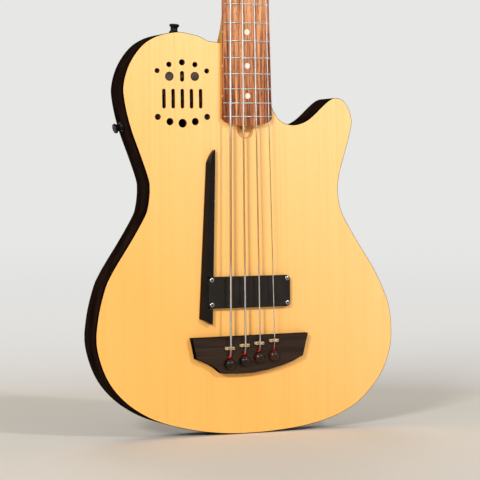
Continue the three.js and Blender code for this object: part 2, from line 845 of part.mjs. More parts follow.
// Pickup: a flat cover over a coil block let into the body
function makePickup() {
  const halfWidth = pickupWidth / 2;
  const halfLength = pickupLength / 2;
  const z = pickupCentreZ;
  const shape = roundedShape(-halfWidth, halfWidth, z - halfLength, z + halfLength, pickupCorner);
  const cover = easedPlate(shape, -pickupHeight, -gap, pickupEdge);
  const coilHalf = coilLength / 2;
  const coil = box(-coilWidth / 2, coilWidth / 2, -2 * gap, coilDepth, z - coilHalf, z + coilHalf);
  return joined(cover, coil);
}

// Thumb rest: a long tapering rail with a bevelled outer side and a ramp down to its tip
function makeThumbRest() {
  const length = thumbRestTipZ - thumbRestBottomZ;
  const outerTop = new THREE.Vector2(thumbRestTipX - thumbRestTipWidth, thumbRestTipZ - thumbRestTipFall);
  const outerFoot = new THREE.Vector2(thumbRestFootX, thumbRestBottomZ + thumbRestFootRise);
  const [acrossShare, upShare] = thumbRestTipCurveShares;
  const handle = outerTop.clone();
  handle.x += acrossShare * thumbRestTipWidth;
  handle.y += upShare * thumbRestTipFall;
  const shape = new THREE.Shape();
  shape.moveTo(outerFoot.x, outerFoot.y);
  shape.lineTo(thumbRestEdgeX, thumbRestBottomZ);
  shape.lineTo(thumbRestTipX, thumbRestTipZ);
  shape.quadraticCurveTo(handle.x, handle.y, outerTop.x, outerTop.y);
  shape.closePath();
  const blank = plate(shape, -thumbRestHeight, -gap, longCurve);
  const lean = Math.atan2(thumbRestBevel, thumbRestHeight);
  const side = outerTop.clone().sub(outerFoot);
  const sideTurn = Math.atan2(side.x, side.y);
  const reach = 2 * length;
  const bevel = new THREE.BoxGeometry(reach, reach, reach)
    .translate(-reach / 2, 0, 0)
    .rotateZ(lean)
    .rotateY(sideTurn)
    .translate(outerFoot.x, 0, outerFoot.y);
  const fall = Math.atan2(thumbRestHeight, thumbRestRamp);
  const ramp = new THREE.BoxGeometry(reach, reach, reach)
    .translate(0, -reach / 2, 0)
    .rotateX(-fall)
    .translate(0, 0, thumbRestTipZ);
  const halfLength = pickupLength / 2 + gap;
  const notch = box(
    -pickupWidth / 2 - gap,
    pickupWidth / 2,
    -thumbRestHeight - overrun,
    overrun,
    pickupCentreZ - halfLength,
    pickupCentreZ + halfLength,
  );
  return cut(blank, solidOf(bevel), solidOf(ramp), notch);
}

// Neck: one loft from the heel block through the played part to the volute, with the headstock joined on
function neckSection(z, halfWidth, topY, depth, power) {
  const ring = [];
  for (let i = 0; i <= neckSectionSteps; i++) {
    const turn = (Math.PI * i) / neckSectionSteps;
    const x = Math.sign(Math.cos(turn)) * Math.abs(Math.cos(turn)) ** (2 / power);
    const y = Math.sin(turn) ** (2 / power);
    ring.push(new THREE.Vector3(halfWidth * x, topY + depth * y, z));
  }
  return ring;
}

function neckDepth(z) {
  const share = (nutZ - z) / (nutZ - heelTopZ);
  return neckDepthAtNut + (neckDepthAtHeel - neckDepthAtNut) * Math.min(share, 1);
}

// The fingerboard seen from the front, with its curved end
function boardPlan(top) {
  const corner = boardHalfWidth(boardCornerZ);
  const handle = ([across, up], side) => [side * across * corner, boardEndZ + up * corner];
  const [outer, inner] = boardEndCurveShares;
  const plan = new THREE.Shape();
  plan.moveTo(boardHalfWidth(top), top);
  plan.lineTo(-boardHalfWidth(top), top);
  plan.lineTo(-corner, boardCornerZ);
  plan.bezierCurveTo(...handle(outer, -1), ...handle(inner, -1), 0, boardEndZ);
  plan.bezierCurveTo(...handle(inner, 1), ...handle(outer, 1), corner, boardCornerZ);
  return plan.closePath();
}

function makeNeckWood() {
  const section = (z, depth, power, half = boardHalfWidth(z)) =>
    neckSection(z, half, neckFaceY, depth - neckFaceY, power);
  const rings = [section(heelEndZ, neckDepthAtHeel, squareness)];
  const fadeSteps = 5;
  for (let i = 0; i <= fadeSteps; i++) {
    const z = heelTopZ + (i / fadeSteps) * heelFadeLength;
    const power = 1 / (1 / squareness + (1 / roundedness - 1 / squareness) * (i / fadeSteps));
    rings.push(section(z, neckDepth(z), power));
  }
  const playedSteps = 4;
  const playedStart = heelTopZ + heelFadeLength;
  for (let i = 1; i <= playedSteps; i++) {
    const z = playedStart + (i / playedSteps) * (nutZ - playedStart);
    rings.push(section(z, neckDepth(z), roundedness));
  }
  const faceStart = nutZ + nutThickness;
  rings.push(section(faceStart, neckDepthAtNut, roundedness, nutWidth / 2));
  const voluteSteps = 3;
  for (let i = 1; i <= voluteSteps; i++) {
    const share = i / voluteSteps;
    const z = faceStart + share * voluteLength;
    const topY = (z - faceStart) * Math.tan(headTilt) + headThickness / 2;
    const depth = headThickness * (voluteDepthShare - voluteFadeShare * share * share);
    const half = (nutWidth / 2) * (1 - voluteTaperShare * share);
    rings.push(neckSection(z, half, topY, depth, roundedness));
  }
  // over the soundboard the wood ends under the fingerboard's own curve
  const reach = boardEndWidth;
  const overhang = box(-reach, reach, neckFaceY - overrun, -gap, heelEndZ - overrun, boardCornerZ);
  const tongue = plate(boardPlan(boardCornerZ + boardEndWidth / 2), neckFaceY, -gap, longCurve);
  return joined(cut(loft(rings), overhang), tongue);
}

function makeHeadBlank() {
  const half = headWidth / 2;
  const right = headOutlineShares.map(([x, z]) => new THREE.Vector3(x * half, 0, z * headLength));
  const curve = new THREE.CatmullRomCurve3(right, false, "centripetal");
  const side = curve.getPoints((right.length - 1) * outlineSteps).map((p) => new THREE.Vector2(p.x, p.z));
  const mirrored = side.slice(0, -1).reverse().map((p) => new THREE.Vector2(-p.x, p.y));
  const blank = easedPlate(new THREE.Shape([...side, ...mirrored]), 0, headThickness, bindingWidth);
  const holes = tuners.map((t) =>
    rodY(bushingSleeveRadius + gap, t.x, throughFront, headThickness + overrun, t.z),
  );
  return { blank, holes };
}

function makeNeck() {
  const { blank, holes } = makeHeadBlank();
  const placing = head.matrix.toArray();
  const belowNut = box(-headWidth, headWidth, -headWidth, headWidth, nutZ - headWidth, nutZ + nutThickness);
  const top = blank.transform(placing);
  const wood = joined(makeNeckWood(), cut(top, belowNut));
  const channelHalf = trussWidth / 2 + gap;
  const channelEnd = nutZ - trussTopInset + gap;
  const channelStart = heelEndZ - overrun;
  const channelFront = neckFaceY - overrun;
  const channel = box(-channelHalf, channelHalf, channelFront, trussDepth + gap, channelStart, channelEnd);
  return cut(wood, channel, ...holes.map((hole) => hole.transform(placing)), ...boltCutters());
}

function boltCutters() {
  const headFront = bodyDepth - boltSink - boltHeadHeight - gap;
  const tip = pocketFloorY - boltReach - gap;
  return boltRows.flatMap((z) =>
    [-boltX, boltX].flatMap((x) => [
      rodY(boltRadius + gap, x, tip, bodyDepth, z, fineSegments),
      rodY(boltHeadRadius + gap, x, headFront, bodyDepth + overrun, z),
    ]),
  );
}

function makeBolt(x, z) {
  const headFront = bodyDepth - boltSink - boltHeadHeight;
  const tip = pocketFloorY - boltReach;
  const back = bodyDepth - boltSink;
  const profile = [
    [0, tip],
    [boltRadius, tip + boltRadius],
    [boltRadius, headFront],
    [boltHeadRadius, headFront],
    [boltHeadRadius, back - boltHeadHeight / 3],
    [boltHeadRadius - boltHeadHeight / 3, back],
    [0, back],
  ];
  const cross = [
    box(x - boltRadius, x + boltRadius, back - boltHeadHeight / 2, back + overrun, z - gap, z + gap),
    box(x - gap, x + gap, back - boltHeadHeight / 2, back + overrun, z - boltRadius, z + boltRadius),
  ];
  return cut(turned(profile, fineSegments).translate([x, 0, z]), ...cross);
}

// Fingerboard with its frets
function makeFingerboard() {
  const half = boardEndWidth / 2 + overrun;
  const backY = neckFaceY - gap;
  const section = [new THREE.Vector2(half, backY), new THREE.Vector2(-half, backY)];
  for (let i = 0; i <= boardSegments; i++) {
    const x = -half + (2 * half * i) / boardSegments;
    section.push(new THREE.Vector2(x, boardSurfaceY(x)));
  }
  const length = nutZ - gap - boardEndZ + overrun;
  const options = { depth: length, bevelEnabled: false };
  const blank = new THREE.ExtrudeGeometry(new THREE.Shape(section), options);
  const arched = solidOf(blank.translate(0, 0, nutZ - gap - length));
  const plan = boardPlan(nutZ - gap);
  const shaped = arched.intersect(plate(plan, -2 * boardHeight, overrun, longCurve));
  const frets = [];
  for (let n = 1; n <= fretCount; n++) frets.push(makeFret(scaleLength * 2 ** (-n / semitones)));
  return joined(shaped, ...frets);
}

function makeFret(z) {
  const half = boardHalfWidth(z) - fretEndInset;
  const rings = [];
  for (let i = 0; i <= fretSegments; i++) {
    const x = half * (-1 + (2 * i) / fretSegments);
    rings.push(
      fretProfileShares.map(([along, up]) => {
        const rise = up > 0 ? up * fretCrown : up * fretTang;
        return new THREE.Vector3(x, boardSurfaceY(x) - rise, z + along * fretWidth);
      }),
    );
  }
  return loft(rings);
}

function makeNut() {
  const half = nutWidth / 2;
  const rise = fretCrown + stringClearanceAtNut + nutShoulder;
  const backY = neckFaceY - gap;
  const points = [new THREE.Vector2(half, backY), new THREE.Vector2(-half, backY)];
  for (let i = 0; i <= boardSegments; i++) {
    const x = -half + (2 * half * i) / boardSegments;
    points.push(new THREE.Vector2(x, boardSurfaceY(x) - rise));
  }
  const blank = new THREE.ExtrudeGeometry(new THREE.Shape(points), {
    depth: nutThickness - gap,
    bevelEnabled: false,
  });
  const z0 = nutZ - overrun;
  const z1 = nutZ + nutThickness + overrun;
  const grooves = strings.map(({ radius, nutX: x, nutY: y }) => {
    const reach = radius + gap;
    const rest = rodZ(reach, x, y, z0, z1, fineSegments);
    return joined(rest, box(x - reach, x + reach, y - overrun - radius, y, z0, z1));
  });
  return cut(solidOf(blank.translate(0, 0, nutZ)), ...grooves);
}

// Truss rod and its nut in the scoop below the fingerboard
const trussAxisY = trussDepth / 2;

function makeTrussRod() {
  const half = trussWidth / 2;
  return box(-half, half, gap, trussDepth, heelEndZ, nutZ - trussTopInset);
}

function makeTrussNut() {
  const top = heelEndZ - gap;
  const foot = top - trussNutLength;
  const barrel = rodZ(trussNutRadius, 0, trussAxisY, foot, top, smallSegments);
  const socketTop = foot + trussSocketDepth;
  return cut(barrel, rodZ(trussSocketRadius, 0, trussAxisY, foot - overrun, socketTop, hexSides));
}

// A string's route: ball end, pin slot, saddle, nut, and the turns round its post
class Route extends THREE.Curve {
  constructor(points) {
    super();
    this.points = points;
  }
  getPoint(t) {
    const place = t * (this.points.length - 1);
    const i = Math.min(Math.floor(place), this.points.length - 2);
    return this.points[i].clone().lerp(this.points[i + 1], place - i);
  }
  getUtoTmapping(u) {
    return u;
  }
}

function tube(points, radius, sides) {
  const ring = [];
  for (let i = 0; i < sides; i++) {
    const turn = (2 * Math.PI * i) / sides;
    ring.push(new THREE.Vector2(radius * Math.cos(turn), radius * Math.sin(turn)));
  }
  const steps = points.length - 1;
  const options = { steps, extrudePath: new Route(points), bevelEnabled: false };
  return solidOf(new THREE.ExtrudeGeometry(new THREE.Shape(ring), options));
}

function windingPoints(s, tuner) {
  const radius = postRadius + runGap + s.radius;
  const start = -(bushingHeight + 2 * gap + s.radius);
  const pitch = 2 * s.radius + windingGap;
  const steps = Math.round(windingTurns * windingSteps);
  const points = [];
  for (let i = 0; i <= steps; i++) {
    const turn = (2 * Math.PI * i) / windingSteps;
    const x = tuner.x - tuner.side * radius * Math.cos(turn);
    const z = tuner.z + radius * Math.sin(turn);
    points.push(new THREE.Vector3(x, start - (pitch * i) / windingSteps, z));
  }
  return points;
}

function leastTurnGap(points, radius) {
  let least = Infinity;
  for (let i = 0; i < points.length; i++)
    for (let j = i + windingSteps / 2; j < points.length; j++)
      least = Math.min(least, points[i].distanceTo(points[j]) - 2 * radius);
  return least;
}

function makeString(s, tuner) {
  const winding = windingPoints(s, tuner);
  const least = leastTurnGap(winding, s.radius).toFixed(2);
  console.log("string_" + s.name, "least gap between turns", least, "mm");
  const halfSaddle = saddleLength / 2 + gap;
  const route = [
    [s.bridgeX, ballDepth, s.wellZ],
    [s.bridgeX, s.slotY / 2, s.wellZ],
    [s.bridgeX, s.slotY, s.slotZ],
    [s.bridgeX, s.restY, s.slotZ],
    [s.bridgeX, s.saddleY, s.saddleZ - halfSaddle],
    [s.bridgeX, s.saddleY, s.saddleZ + halfSaddle],
    [s.nutX, s.nutY, nutZ],
    [s.nutX, s.nutY, nutZ + nutThickness + gap],
  ].map(([x, y, z]) => new THREE.Vector3(x, y, z));
  route.push(...winding.map((p) => p.applyMatrix4(head.matrix)));
  const [x0, x1] = [s.bridgeX - ballLength / 2, s.bridgeX + ballLength / 2];
  const ball = rodX(ballRadius, x0, x1, ballDepth, s.wellZ, fineSegments);
  return joined(tube(route, s.radius, windingSides), ball);
}

// Preamp under the soundboard, with the sliders, buttons and switch that show through it
function makePreamp() {
  const wellBack = preampFrontY + preampWellDepth;
  const wells = [];
  for (let n = 0; n < sliderCount; n++) {
    const well = slotShape(sliderX(n), rosetteZ, sliderStemWidth + 2 * runGap, sliderSlotLength);
    wells.push(plate(well, 0, wellBack));
  }
  const switchWell = slotShape(rosetteX, buttonZ, sliderStemWidth + 2 * runGap, switchSlotLength);
  wells.push(plate(switchWell, 0, wellBack));
  for (const side of [-1, 1]) {
    const x = rosetteX + side * buttonSpread;
    wells.push(rodY(buttonStemRadius + runGap, x, 0, wellBack, buttonZ, fineSegments));
  }
  return cut(plate(preampShape(0), preampFrontY, preampFrontY + preampDepth), ...wells);
}

function makeTab(x, z, width, length) {
  const tabBack = soundboardThickness - gap;
  const stemBack = preampFrontY + preampWellDepth - runGap;
  const stemHalf = sliderStemWidth / 2;
  const shape = roundedShape(x - width / 2, x + width / 2, z - length / 2, z + length / 2, tabCorner);
  const tab = easedPlate(shape, sliderTabTop, tabBack, tabEdge, 1, 1);
  const reach = length / 3;
  return joined(tab, box(x - stemHalf, x + stemHalf, tabBack - gap, stemBack, z - reach, z + reach));
}

function makeButton(x, z) {
  const back = buttonTop + buttonThickness;
  const radius = buttonHoleRadius - runGap;
  const stemBack = preampFrontY + preampWellDepth - buttonTravel - runGap;
  const profile = [
    [0, buttonTop],
    [radius - runGap, buttonTop],
    [radius, buttonTop + runGap],
    [radius, back],
    [buttonStemRadius, back],
    [buttonStemRadius, stemBack],
    [0, stemBack],
  ];
  return turned(profile).translate([x, 0, z]);
}

// Output jack
function makeJack() {
  const seat = jackSeat.point.x + gap;
  const inner = seat - jackBoreDepth - jackFloor;
  const outer = seat + jackFlange;
  const profile = [
    [0, inner],
    [jackRadius - jackFlange / 2, inner],
    [jackRadius, inner + jackFlange / 2],
    [jackRadius, seat],
    [jackFlangeRadius, seat],
    [jackFlangeRadius, outer - jackFlange / 2],
    [jackFlangeRadius - jackFlange / 2, outer],
    [jackBoreRadius, outer],
    [jackBoreRadius, outer - jackBoreDepth],
    [0, outer - jackBoreDepth],
  ];
  const points = profile.map(([radius, along]) => new THREE.Vector2(radius, along));
  const geometry = new THREE.LatheGeometry(points, roundSegments).rotateZ(-Math.PI / 2);
  return solidOf(geometry.translate(0, jackY, jackSeat.point.y));
}

// Battery box, its door on a hinge along the lower edge, and the battery
const doorHalfWidth = boxOuterWidth / 2 + boxLip / 2;
const doorHalfLength = boxOuterLength / 2 + boxLip / 2;
const doorY = bodyDepth - doorThickness / 2;
const doorHingeZ = batteryZ - doorHalfLength + doorThickness / 2;

function makeBatteryBox() {
  const halfWidth = boxOuterWidth / 2;
  const halfLength = boxOuterLength / 2;
  const lipHalfWidth = halfWidth + boxLip;
  const lipHalfLength = halfLength + boxLip;
  const lip = box(
    batteryX - lipHalfWidth,
    batteryX + lipHalfWidth,
    boxBackY - boxLipThickness,
    boxBackY,
    batteryZ - lipHalfLength,
    batteryZ + lipHalfLength,
  );
  const tray = box(
    batteryX - halfWidth,
    batteryX + halfWidth,
    boxFrontY + gap,
    boxBackY - gap,
    batteryZ - halfLength,
    batteryZ + halfLength,
  );
  const inside = box(
    batteryX - halfWidth + boxWall,
    batteryX + halfWidth - boxWall,
    boxFrontY + gap + boxWall,
    boxBackY + overrun,
    batteryZ - halfLength + boxWall,
    batteryZ + halfLength - boxWall,
  );
  const recess = box(
    batteryX - doorHalfWidth - runGap,
    batteryX + doorHalfWidth + runGap,
    boxBackY - doorThickness - runGap,
    boxBackY + overrun,
    batteryZ - doorHalfLength - runGap,
    batteryZ + doorHalfLength + runGap,
  );
  const reach = doorHalfWidth + doorPinLength + runGap;
  const [x0, x1] = [batteryX - reach, batteryX + reach];
  const pivot = rodX(doorPinRadius + runGap / 2, x0, x1, doorY, doorHingeZ, fineSegments);
  return cut(joined(lip, tray), inside, recess, pivot);
}

function makeBatteryDoor() {
  const half = doorThickness / 2;
  const top = batteryZ + doorHalfLength;
  const [x0, x1] = [batteryX - doorHalfWidth, batteryX + doorHalfWidth];
  const leaf = box(x0, x1, doorY - half, doorY + half, doorHingeZ, top);
  const barrel = rodX(half, x0, x1, doorY, doorHingeZ, fineSegments);
  const reach = doorHalfWidth + doorPinLength;
  const pin = rodX(doorPinRadius, batteryX - reach, batteryX + reach, doorY, doorHingeZ, fineSegments);
  const notchZ = top + boxLip / 2;
  const fingerNotch = rodY(boxLip, batteryX, doorY, bodyDepth + overrun, notchZ, fineSegments);
  return cut(joined(leaf, barrel, pin), fingerNotch);
}

function makeBattery() {
  const floorY = boxFrontY + boxWall + 2 * gap;
  const z0 = batteryZ - boxOuterLength / 2 + boxWall + gap;
  const shape = roundedShape(
    batteryX - batteryWidth / 2,
    batteryX + batteryWidth / 2,
    z0,
    z0 + batteryLength,
    batteryCorner,
  );
  const cell = plate(shape, floorY, floorY + batteryDepth - gap);
  const middle = floorY + batteryDepth / 2;
  const end = z0 + batteryLength;
  const terminals = [-1, 1].map((side) => {
    const x = batteryX + (side * batteryWidth) / 4;
    return rodZ(terminalRadius, x, middle, end - gap, end + terminalHeight, fineSegments);
  });
  return joined(cell, ...terminals);
}

// Tuning machines
const gearboxFrontY = headThickness + gap;
const keyY = gearboxFrontY + gearboxPlate + (gearboxHeight - gearboxPlate) / 2;

function makeBushing() {
  const inner = postRadius + runGap;
  const profile = [
    [inner, bushingSleeve],
    [bushingSleeveRadius, bushingSleeve],
    [bushingSleeveRadius, -gap],
    [bushingRadius, -gap],
    [bushingRadius, -bushingHeight + bushingHeight / 3],
    [bushingRadius - bushingHeight / 3, -bushingHeight],
    [inner, -bushingHeight],
    [inner, bushingSleeve],
  ];
  return turned(profile);
}

function makePost() {
  const foot = gearboxFrontY + postFoot;
  const profile = [
    [0, foot],
    [postRadius, foot],
    [postRadius, -postWaistTop],
    [postHeadRadius, -postWaistTop - (postHeadRadius - postRadius)],
    [postHeadRadius, -postHeight + bindingWidth / 2],
    [postHeadRadius - bindingWidth / 2, -postHeight],
    [0, -postHeight],
  ];
  const half = postSlotWidth / 2;
  const reach = postHeadRadius + overrun;
  const slot = box(-half, half, -postHeight - overrun, -postHeight + postSlotDepth, -reach, reach);
  return cut(turned(profile), slot);
}

function makeGearbox() {
  const reach = gearboxPlateReach;
  const halfWidth = gearboxWidth / 2;
  const low = -keyOffset - gearboxLength / 2 + keyOffset / 2;
  const high = low + gearboxLength;
  const plateBack = gearboxFrontY + gearboxPlate;
  const back = gearboxFrontY + gearboxHeight;
  const base = plate(
    roundedShape(-halfWidth, halfWidth, low - reach, high + reach, gearboxCorner),
    gearboxFrontY,
    plateBack,
    plainCurve,
  );
  const caseShape = roundedShape(-halfWidth, halfWidth, low, high, gearboxCorner);
  const casing = plate(caseShape, gearboxFrontY, back - gearboxPlate, {
    ...plainCurve,
    bevelEnabled: true,
    bevelThickness: gearboxPlate,
    bevelSize: gearboxPlate,
    bevelOffset: -gearboxPlate,
    bevelSegments: 1,
  });
  const front = box(-halfWidth, halfWidth, 0, gearboxFrontY, low, high, overrun);
  const postHole = rodY(postRadius + runGap, 0, 0, gearboxFrontY + postFoot + runGap, 0, smallSegments);
  const shaftStart = halfWidth - keyShaftInset - runGap;
  const shaftEnd = halfWidth + overrun;
  const shaftHole = rodX(keyShaftRadius + runGap, shaftStart, shaftEnd, keyY, -keyOffset, fineSegments);
  return cut(joined(cut(casing, front), base), postHole, shaftHole);
}

function makeKey() {
  const half = gearboxWidth / 2;
  const shaft = rodX(keyShaftRadius, half - keyShaftInset, half + keyReach, keyY, -keyOffset, fineSegments);
  const collarStart = half + gap;
  const collarEnd = collarStart + keyShaftInset / 2;
  const collar = rodX(keyShaftRadius + keyCollar, collarStart, collarEnd, keyY, -keyOffset, fineSegments);
  const start = half + keyReach - overrun;
  const place = ([along, across]) => [start + along * keyLength, -keyOffset + across * keyWidth];
  const lobe = new THREE.Shape();
  lobe.moveTo(...place([0, keyWaistShare]));
  for (const curve of keyOutlineShares) lobe.bezierCurveTo(...curve.flatMap(place));
  lobe.closePath();
  const edge = keyThickness / 4;
  const paddle = plate(lobe, keyY - keyThickness / 2 + edge, keyY + keyThickness / 2 - edge, {
    curveSegments: keyCurveSegments,
    bevelEnabled: true,
    bevelThickness: edge,
    bevelSize: edge,
    bevelOffset: -edge,
    bevelSegments: 1,
  });
  return joined(shaft, collar, paddle);
}

// The whole instrument
addPiece("soundboard", makeSoundboard(), materials.spruce);
addPiece("edge_binding", makeBinding(), materials.blackGloss);
addPiece("body_shell", makeBodyShell(), materials.darkWood);
for (const { name, seat } of strapButtonSeats)
  addPiece(name, placedAlong(seat, bodyDepth / 2, strapButton()), materials.blackGloss);
addPiece("bridge", makeBridge(), materials.ebony);
addPiece("pickup", makePickup(), materials.blackSatin);
addPiece("thumb_rest", makeThumbRest(), materials.blackGloss);
addPiece("neck", makeNeck(), materials.maple);
addPiece("fingerboard", makeFingerboard(), materials.rosewood);
addPiece("nut", makeNut(), materials.bone);
addPiece("truss_rod", makeTrussRod(), materials.steel);
addPiece("truss_rod_nut", makeTrussNut(), materials.brass);
addPiece("preamp", makePreamp(), materials.blackSatin);
addPiece("output_jack", makeJack(), materials.chrome);
addPiece("battery_box", makeBatteryBox(), materials.blackSatin);
addPiece("battery_door", makeBatteryDoor(), materials.blackSatin);
addPiece("battery", makeBattery(), materials.greyPlastic);

let boltNumber = 0;
for (const z of boltRows)
  for (const x of [-boltX, boltX]) {
    boltNumber += 1;
    addPiece("neck_bolt_" + boltNumber, makeBolt(x, z), materials.chrome);
  }

for (let n = 0; n < sliderCount; n++) {
  const tab = makeTab(sliderX(n), rosetteZ + sliderRest[n], sliderTabWidth, sliderTabLength);
  addPiece("slider_" + (n + 1), tab, materials.greyPlastic);
}
addPiece("button_left", makeButton(rosetteX - buttonSpread, buttonZ), materials.greyPlastic);
addPiece("button_right", makeButton(rosetteX + buttonSpread, buttonZ), materials.greyPlastic);
addPiece("mode_switch", makeTab(rosetteX, buttonZ, switchTabWidth, switchTabLength), materials.greyPlastic);

strings.forEach((s, i) => {
  addPiece("saddle_" + s.name, makeSaddle(s), materials.bone);
  addPiece("bridge_pin_" + s.name, makePin(s), materials.blackGloss);
  addPiece("string_" + s.name, makeString(s, tuners[i]), materials.steel);
});

for (const t of tuners) {
  const outward = t.side > 0 ? (s) => s : (s) => s.mirror([1, 0, 0]);
  const pieces = {
    tuner_gearbox: [outward(makeGearbox()), materials.chrome],
    tuner_key: [outward(makeKey()), materials.chrome],
    tuner_post: [makePost(), materials.chrome],
    tuner_bushing: [makeBushing(), materials.chrome],
  };
  for (const [kind, [solid, material]] of Object.entries(pieces)) {
    const mesh = addPiece(kind + "_" + t.name, solid, material, head);
    mesh.position.set(t.x, 0, t.z);
  }
}

// The origin is the middle of the lowest point's level.
const part = new THREE.Group();
part.add(guitar);
part.updateMatrixWorld(true);
const reachBox = new THREE.Box3().setFromObject(guitar, true);
const middle = reachBox.getCenter(new THREE.Vector3());
guitar.position.set(-middle.x, -middle.y, -reachBox.min.z);

export default part;
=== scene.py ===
import math

import bmesh
import bpy
from mathutils import Matrix, Vector
from mathutils.geometry import tessellate_polygon


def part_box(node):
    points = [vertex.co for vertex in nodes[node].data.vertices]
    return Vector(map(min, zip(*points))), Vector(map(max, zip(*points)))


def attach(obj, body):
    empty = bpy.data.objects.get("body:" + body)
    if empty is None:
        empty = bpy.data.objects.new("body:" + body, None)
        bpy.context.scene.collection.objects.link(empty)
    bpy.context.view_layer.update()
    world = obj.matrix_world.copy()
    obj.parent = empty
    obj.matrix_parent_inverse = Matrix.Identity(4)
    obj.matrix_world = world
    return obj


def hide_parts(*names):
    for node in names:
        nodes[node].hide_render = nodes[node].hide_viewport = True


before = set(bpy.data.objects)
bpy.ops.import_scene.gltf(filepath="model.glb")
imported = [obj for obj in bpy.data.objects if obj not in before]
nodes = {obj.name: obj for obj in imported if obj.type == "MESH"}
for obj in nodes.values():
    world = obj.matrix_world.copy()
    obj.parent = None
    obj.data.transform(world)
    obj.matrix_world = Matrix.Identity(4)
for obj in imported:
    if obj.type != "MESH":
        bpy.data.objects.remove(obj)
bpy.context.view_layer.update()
scene = bpy.context.scene
mm = 0.001

# The instrument in the frame: x from the centreline, y from the soundboard's face, z from the bridge line
scaleLength = 863.6
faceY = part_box("soundboard")[0].y
nutLow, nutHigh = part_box("nut")
centreX = (nutLow.x + nutHigh.x) / 2
bridgeZ = nutLow.z - scaleLength * mm
stringNames = ("e", "a", "d", "g")


def place(x, y, z):
    return Vector((centreX + x * mm, faceY + y * mm, bridgeZ + z * mm))


def levelY(depth):
    return place(0, depth, 0).y


def onFace(x, z):
    spot = place(x, 0, z)
    return spot.x, spot.z


def middleOf(node):
    low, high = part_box(node)
    return (low + high) / 2


def fullTurn(count):
    return [2 * math.pi * i / count for i in range(count)]


def quarterTurn(steps):
    return [math.pi / 2 * i / steps for i in range(steps + 1)]


# Meshes

def objectFrom(name, data, material=None):
    piece = bpy.data.objects.new(name, data)
    scene.collection.objects.link(piece)
    if material is not None:
        data.materials.clear()
        data.materials.append(material)
    return piece


def meshFrom(name, points, faces):
    mesh = bpy.data.meshes.new(name)
    mesh.from_pydata([tuple(p) for p in points], [], faces)
    mesh.update()
    return mesh


def faceOutwards(mesh):
    work = bmesh.new()
    work.from_mesh(mesh)
    bmesh.ops.remove_doubles(work, verts=work.verts, dist=1e-6)
    bmesh.ops.recalc_face_normals(work, faces=work.faces)
    work.to_mesh(mesh)
    work.free()
    return mesh


def closedMesh(name, points, faces):
    return faceOutwards(meshFrom(name, points, faces))


def smoothTo(mesh, degrees):
    mesh.polygons.foreach_set("use_smooth", [True] * len(mesh.polygons))
    mesh.set_sharp_from_angle(angle=math.radians(degrees))
    mesh.update()
    return mesh


def settled(piece):
    # the modifiers' result as a plain mesh on the same object
    graph = bpy.context.evaluated_depsgraph_get()
    mesh = bpy.data.meshes.new_from_object(piece.evaluated_get(graph))
    mesh.transform(piece.matrix_world)
    piece.matrix_world = Matrix.Identity(4)
    if piece.type == "MESH":
        piece.modifiers.clear()
        piece.data = mesh
        return piece
    name = piece.name
    bpy.data.objects.remove(piece)
    return objectFrom(name, mesh)


def bevelled(piece, width, segments, degrees):
    bevel = piece.modifiers.new("edges", "BEVEL")
    bevel.width = width
    bevel.segments = segments
    bevel.limit_method = "ANGLE"
    bevel.angle_limit = math.radians(degrees)
    settled(piece)


def copyOf(node, name):
    # a CAD mesh is loose triangles, so its copy is merged
    mesh = nodes[node].data.copy()
    work = bmesh.new()
    work.from_mesh(mesh)
    bmesh.ops.remove_doubles(work, verts=work.verts, dist=2e-6)
    bmesh.ops.dissolve_limit(work, angle_limit=math.radians(0.4), verts=work.verts, edges=work.edges)
    work.to_mesh(mesh)
    work.free()
    return objectFrom(name, mesh)


def joined(name, meshes):
    work = bmesh.new()
    for mesh in meshes:
        work.from_mesh(mesh)
    mesh = bpy.data.meshes.new(name)
    work.to_mesh(mesh)
    work.free()
    return objectFrom(name, mesh)


def boxMesh(low, high):
    (left, right), (front, back), (bottom, top) = zip(low, high)
    points = [(x, y, z) for x in (left, right) for y in (front, back) for z in (bottom, top)]
    faces = [(0, 1, 3, 2), (4, 6, 7, 5), (0, 4, 5, 1), (2, 3, 7, 6), (0, 2, 6, 4), (1, 5, 7, 3)]
    return closedMesh("block", points, faces)


def prismMesh(loop, frontY, backY):
    count = len(loop)
    points = [(x, y, z) for y in (frontY, backY) for x, z in loop]
    cap = [tuple(face) for face in tessellate_polygon([[Vector((x, z, 0)) for x, z in loop]])]
    faces = cap + [tuple(i + count for i in face) for face in cap]
    faces += [(i, i + count, (i + 1) % count + count, (i + 1) % count) for i in range(count)]
    return closedMesh("prism", points, faces)


def turnedMesh(profile, segments, centre=(0, 0, 0), axis="Y"):
    # pairs of radius and height, turned round an axis through the centre; a zero radius is a pole
    rings, points, faces = [], [], []
    for radius, height in profile:
        if radius < 1e-9:
            rings.append([len(points)])
            points.append(Vector((0, height, 0)))
            continue
        rings.append(list(range(len(points), len(points) + segments)))
        for angle in fullTurn(segments):
            points.append(Vector((radius * math.cos(angle), height, radius * math.sin(angle))))
    for one, two in zip(rings, rings[1:]):
        for i in range(segments):
            first = [one[i % len(one)], one[(i + 1) % len(one)]]
            second = [two[(i + 1) % len(two)], two[i % len(two)]]
            face = list(dict.fromkeys(first + second))
            if len(face) > 2:
                faces.append(tuple(face))
    mesh = closedMesh("turned", points, faces)
    if axis == "X":
        mesh.transform(Matrix.Rotation(-math.pi / 2, 4, "Z"))
    if axis == "Z":
        mesh.transform(Matrix.Rotation(math.pi / 2, 4, "X"))
    mesh.transform(Matrix.Translation(centre))
    return mesh


def bandFaces(rows, count, closed=False):
    # quads between neighbouring rings of the same number of points
    faces = []
    for r in range(rows if closed else rows - 1):
        s = (r + 1) % rows
        for i in range(count):
            j = (i + 1) % count
            faces.append((r * count + i, r * count + j, s * count + j, s * count + i))
    return faces


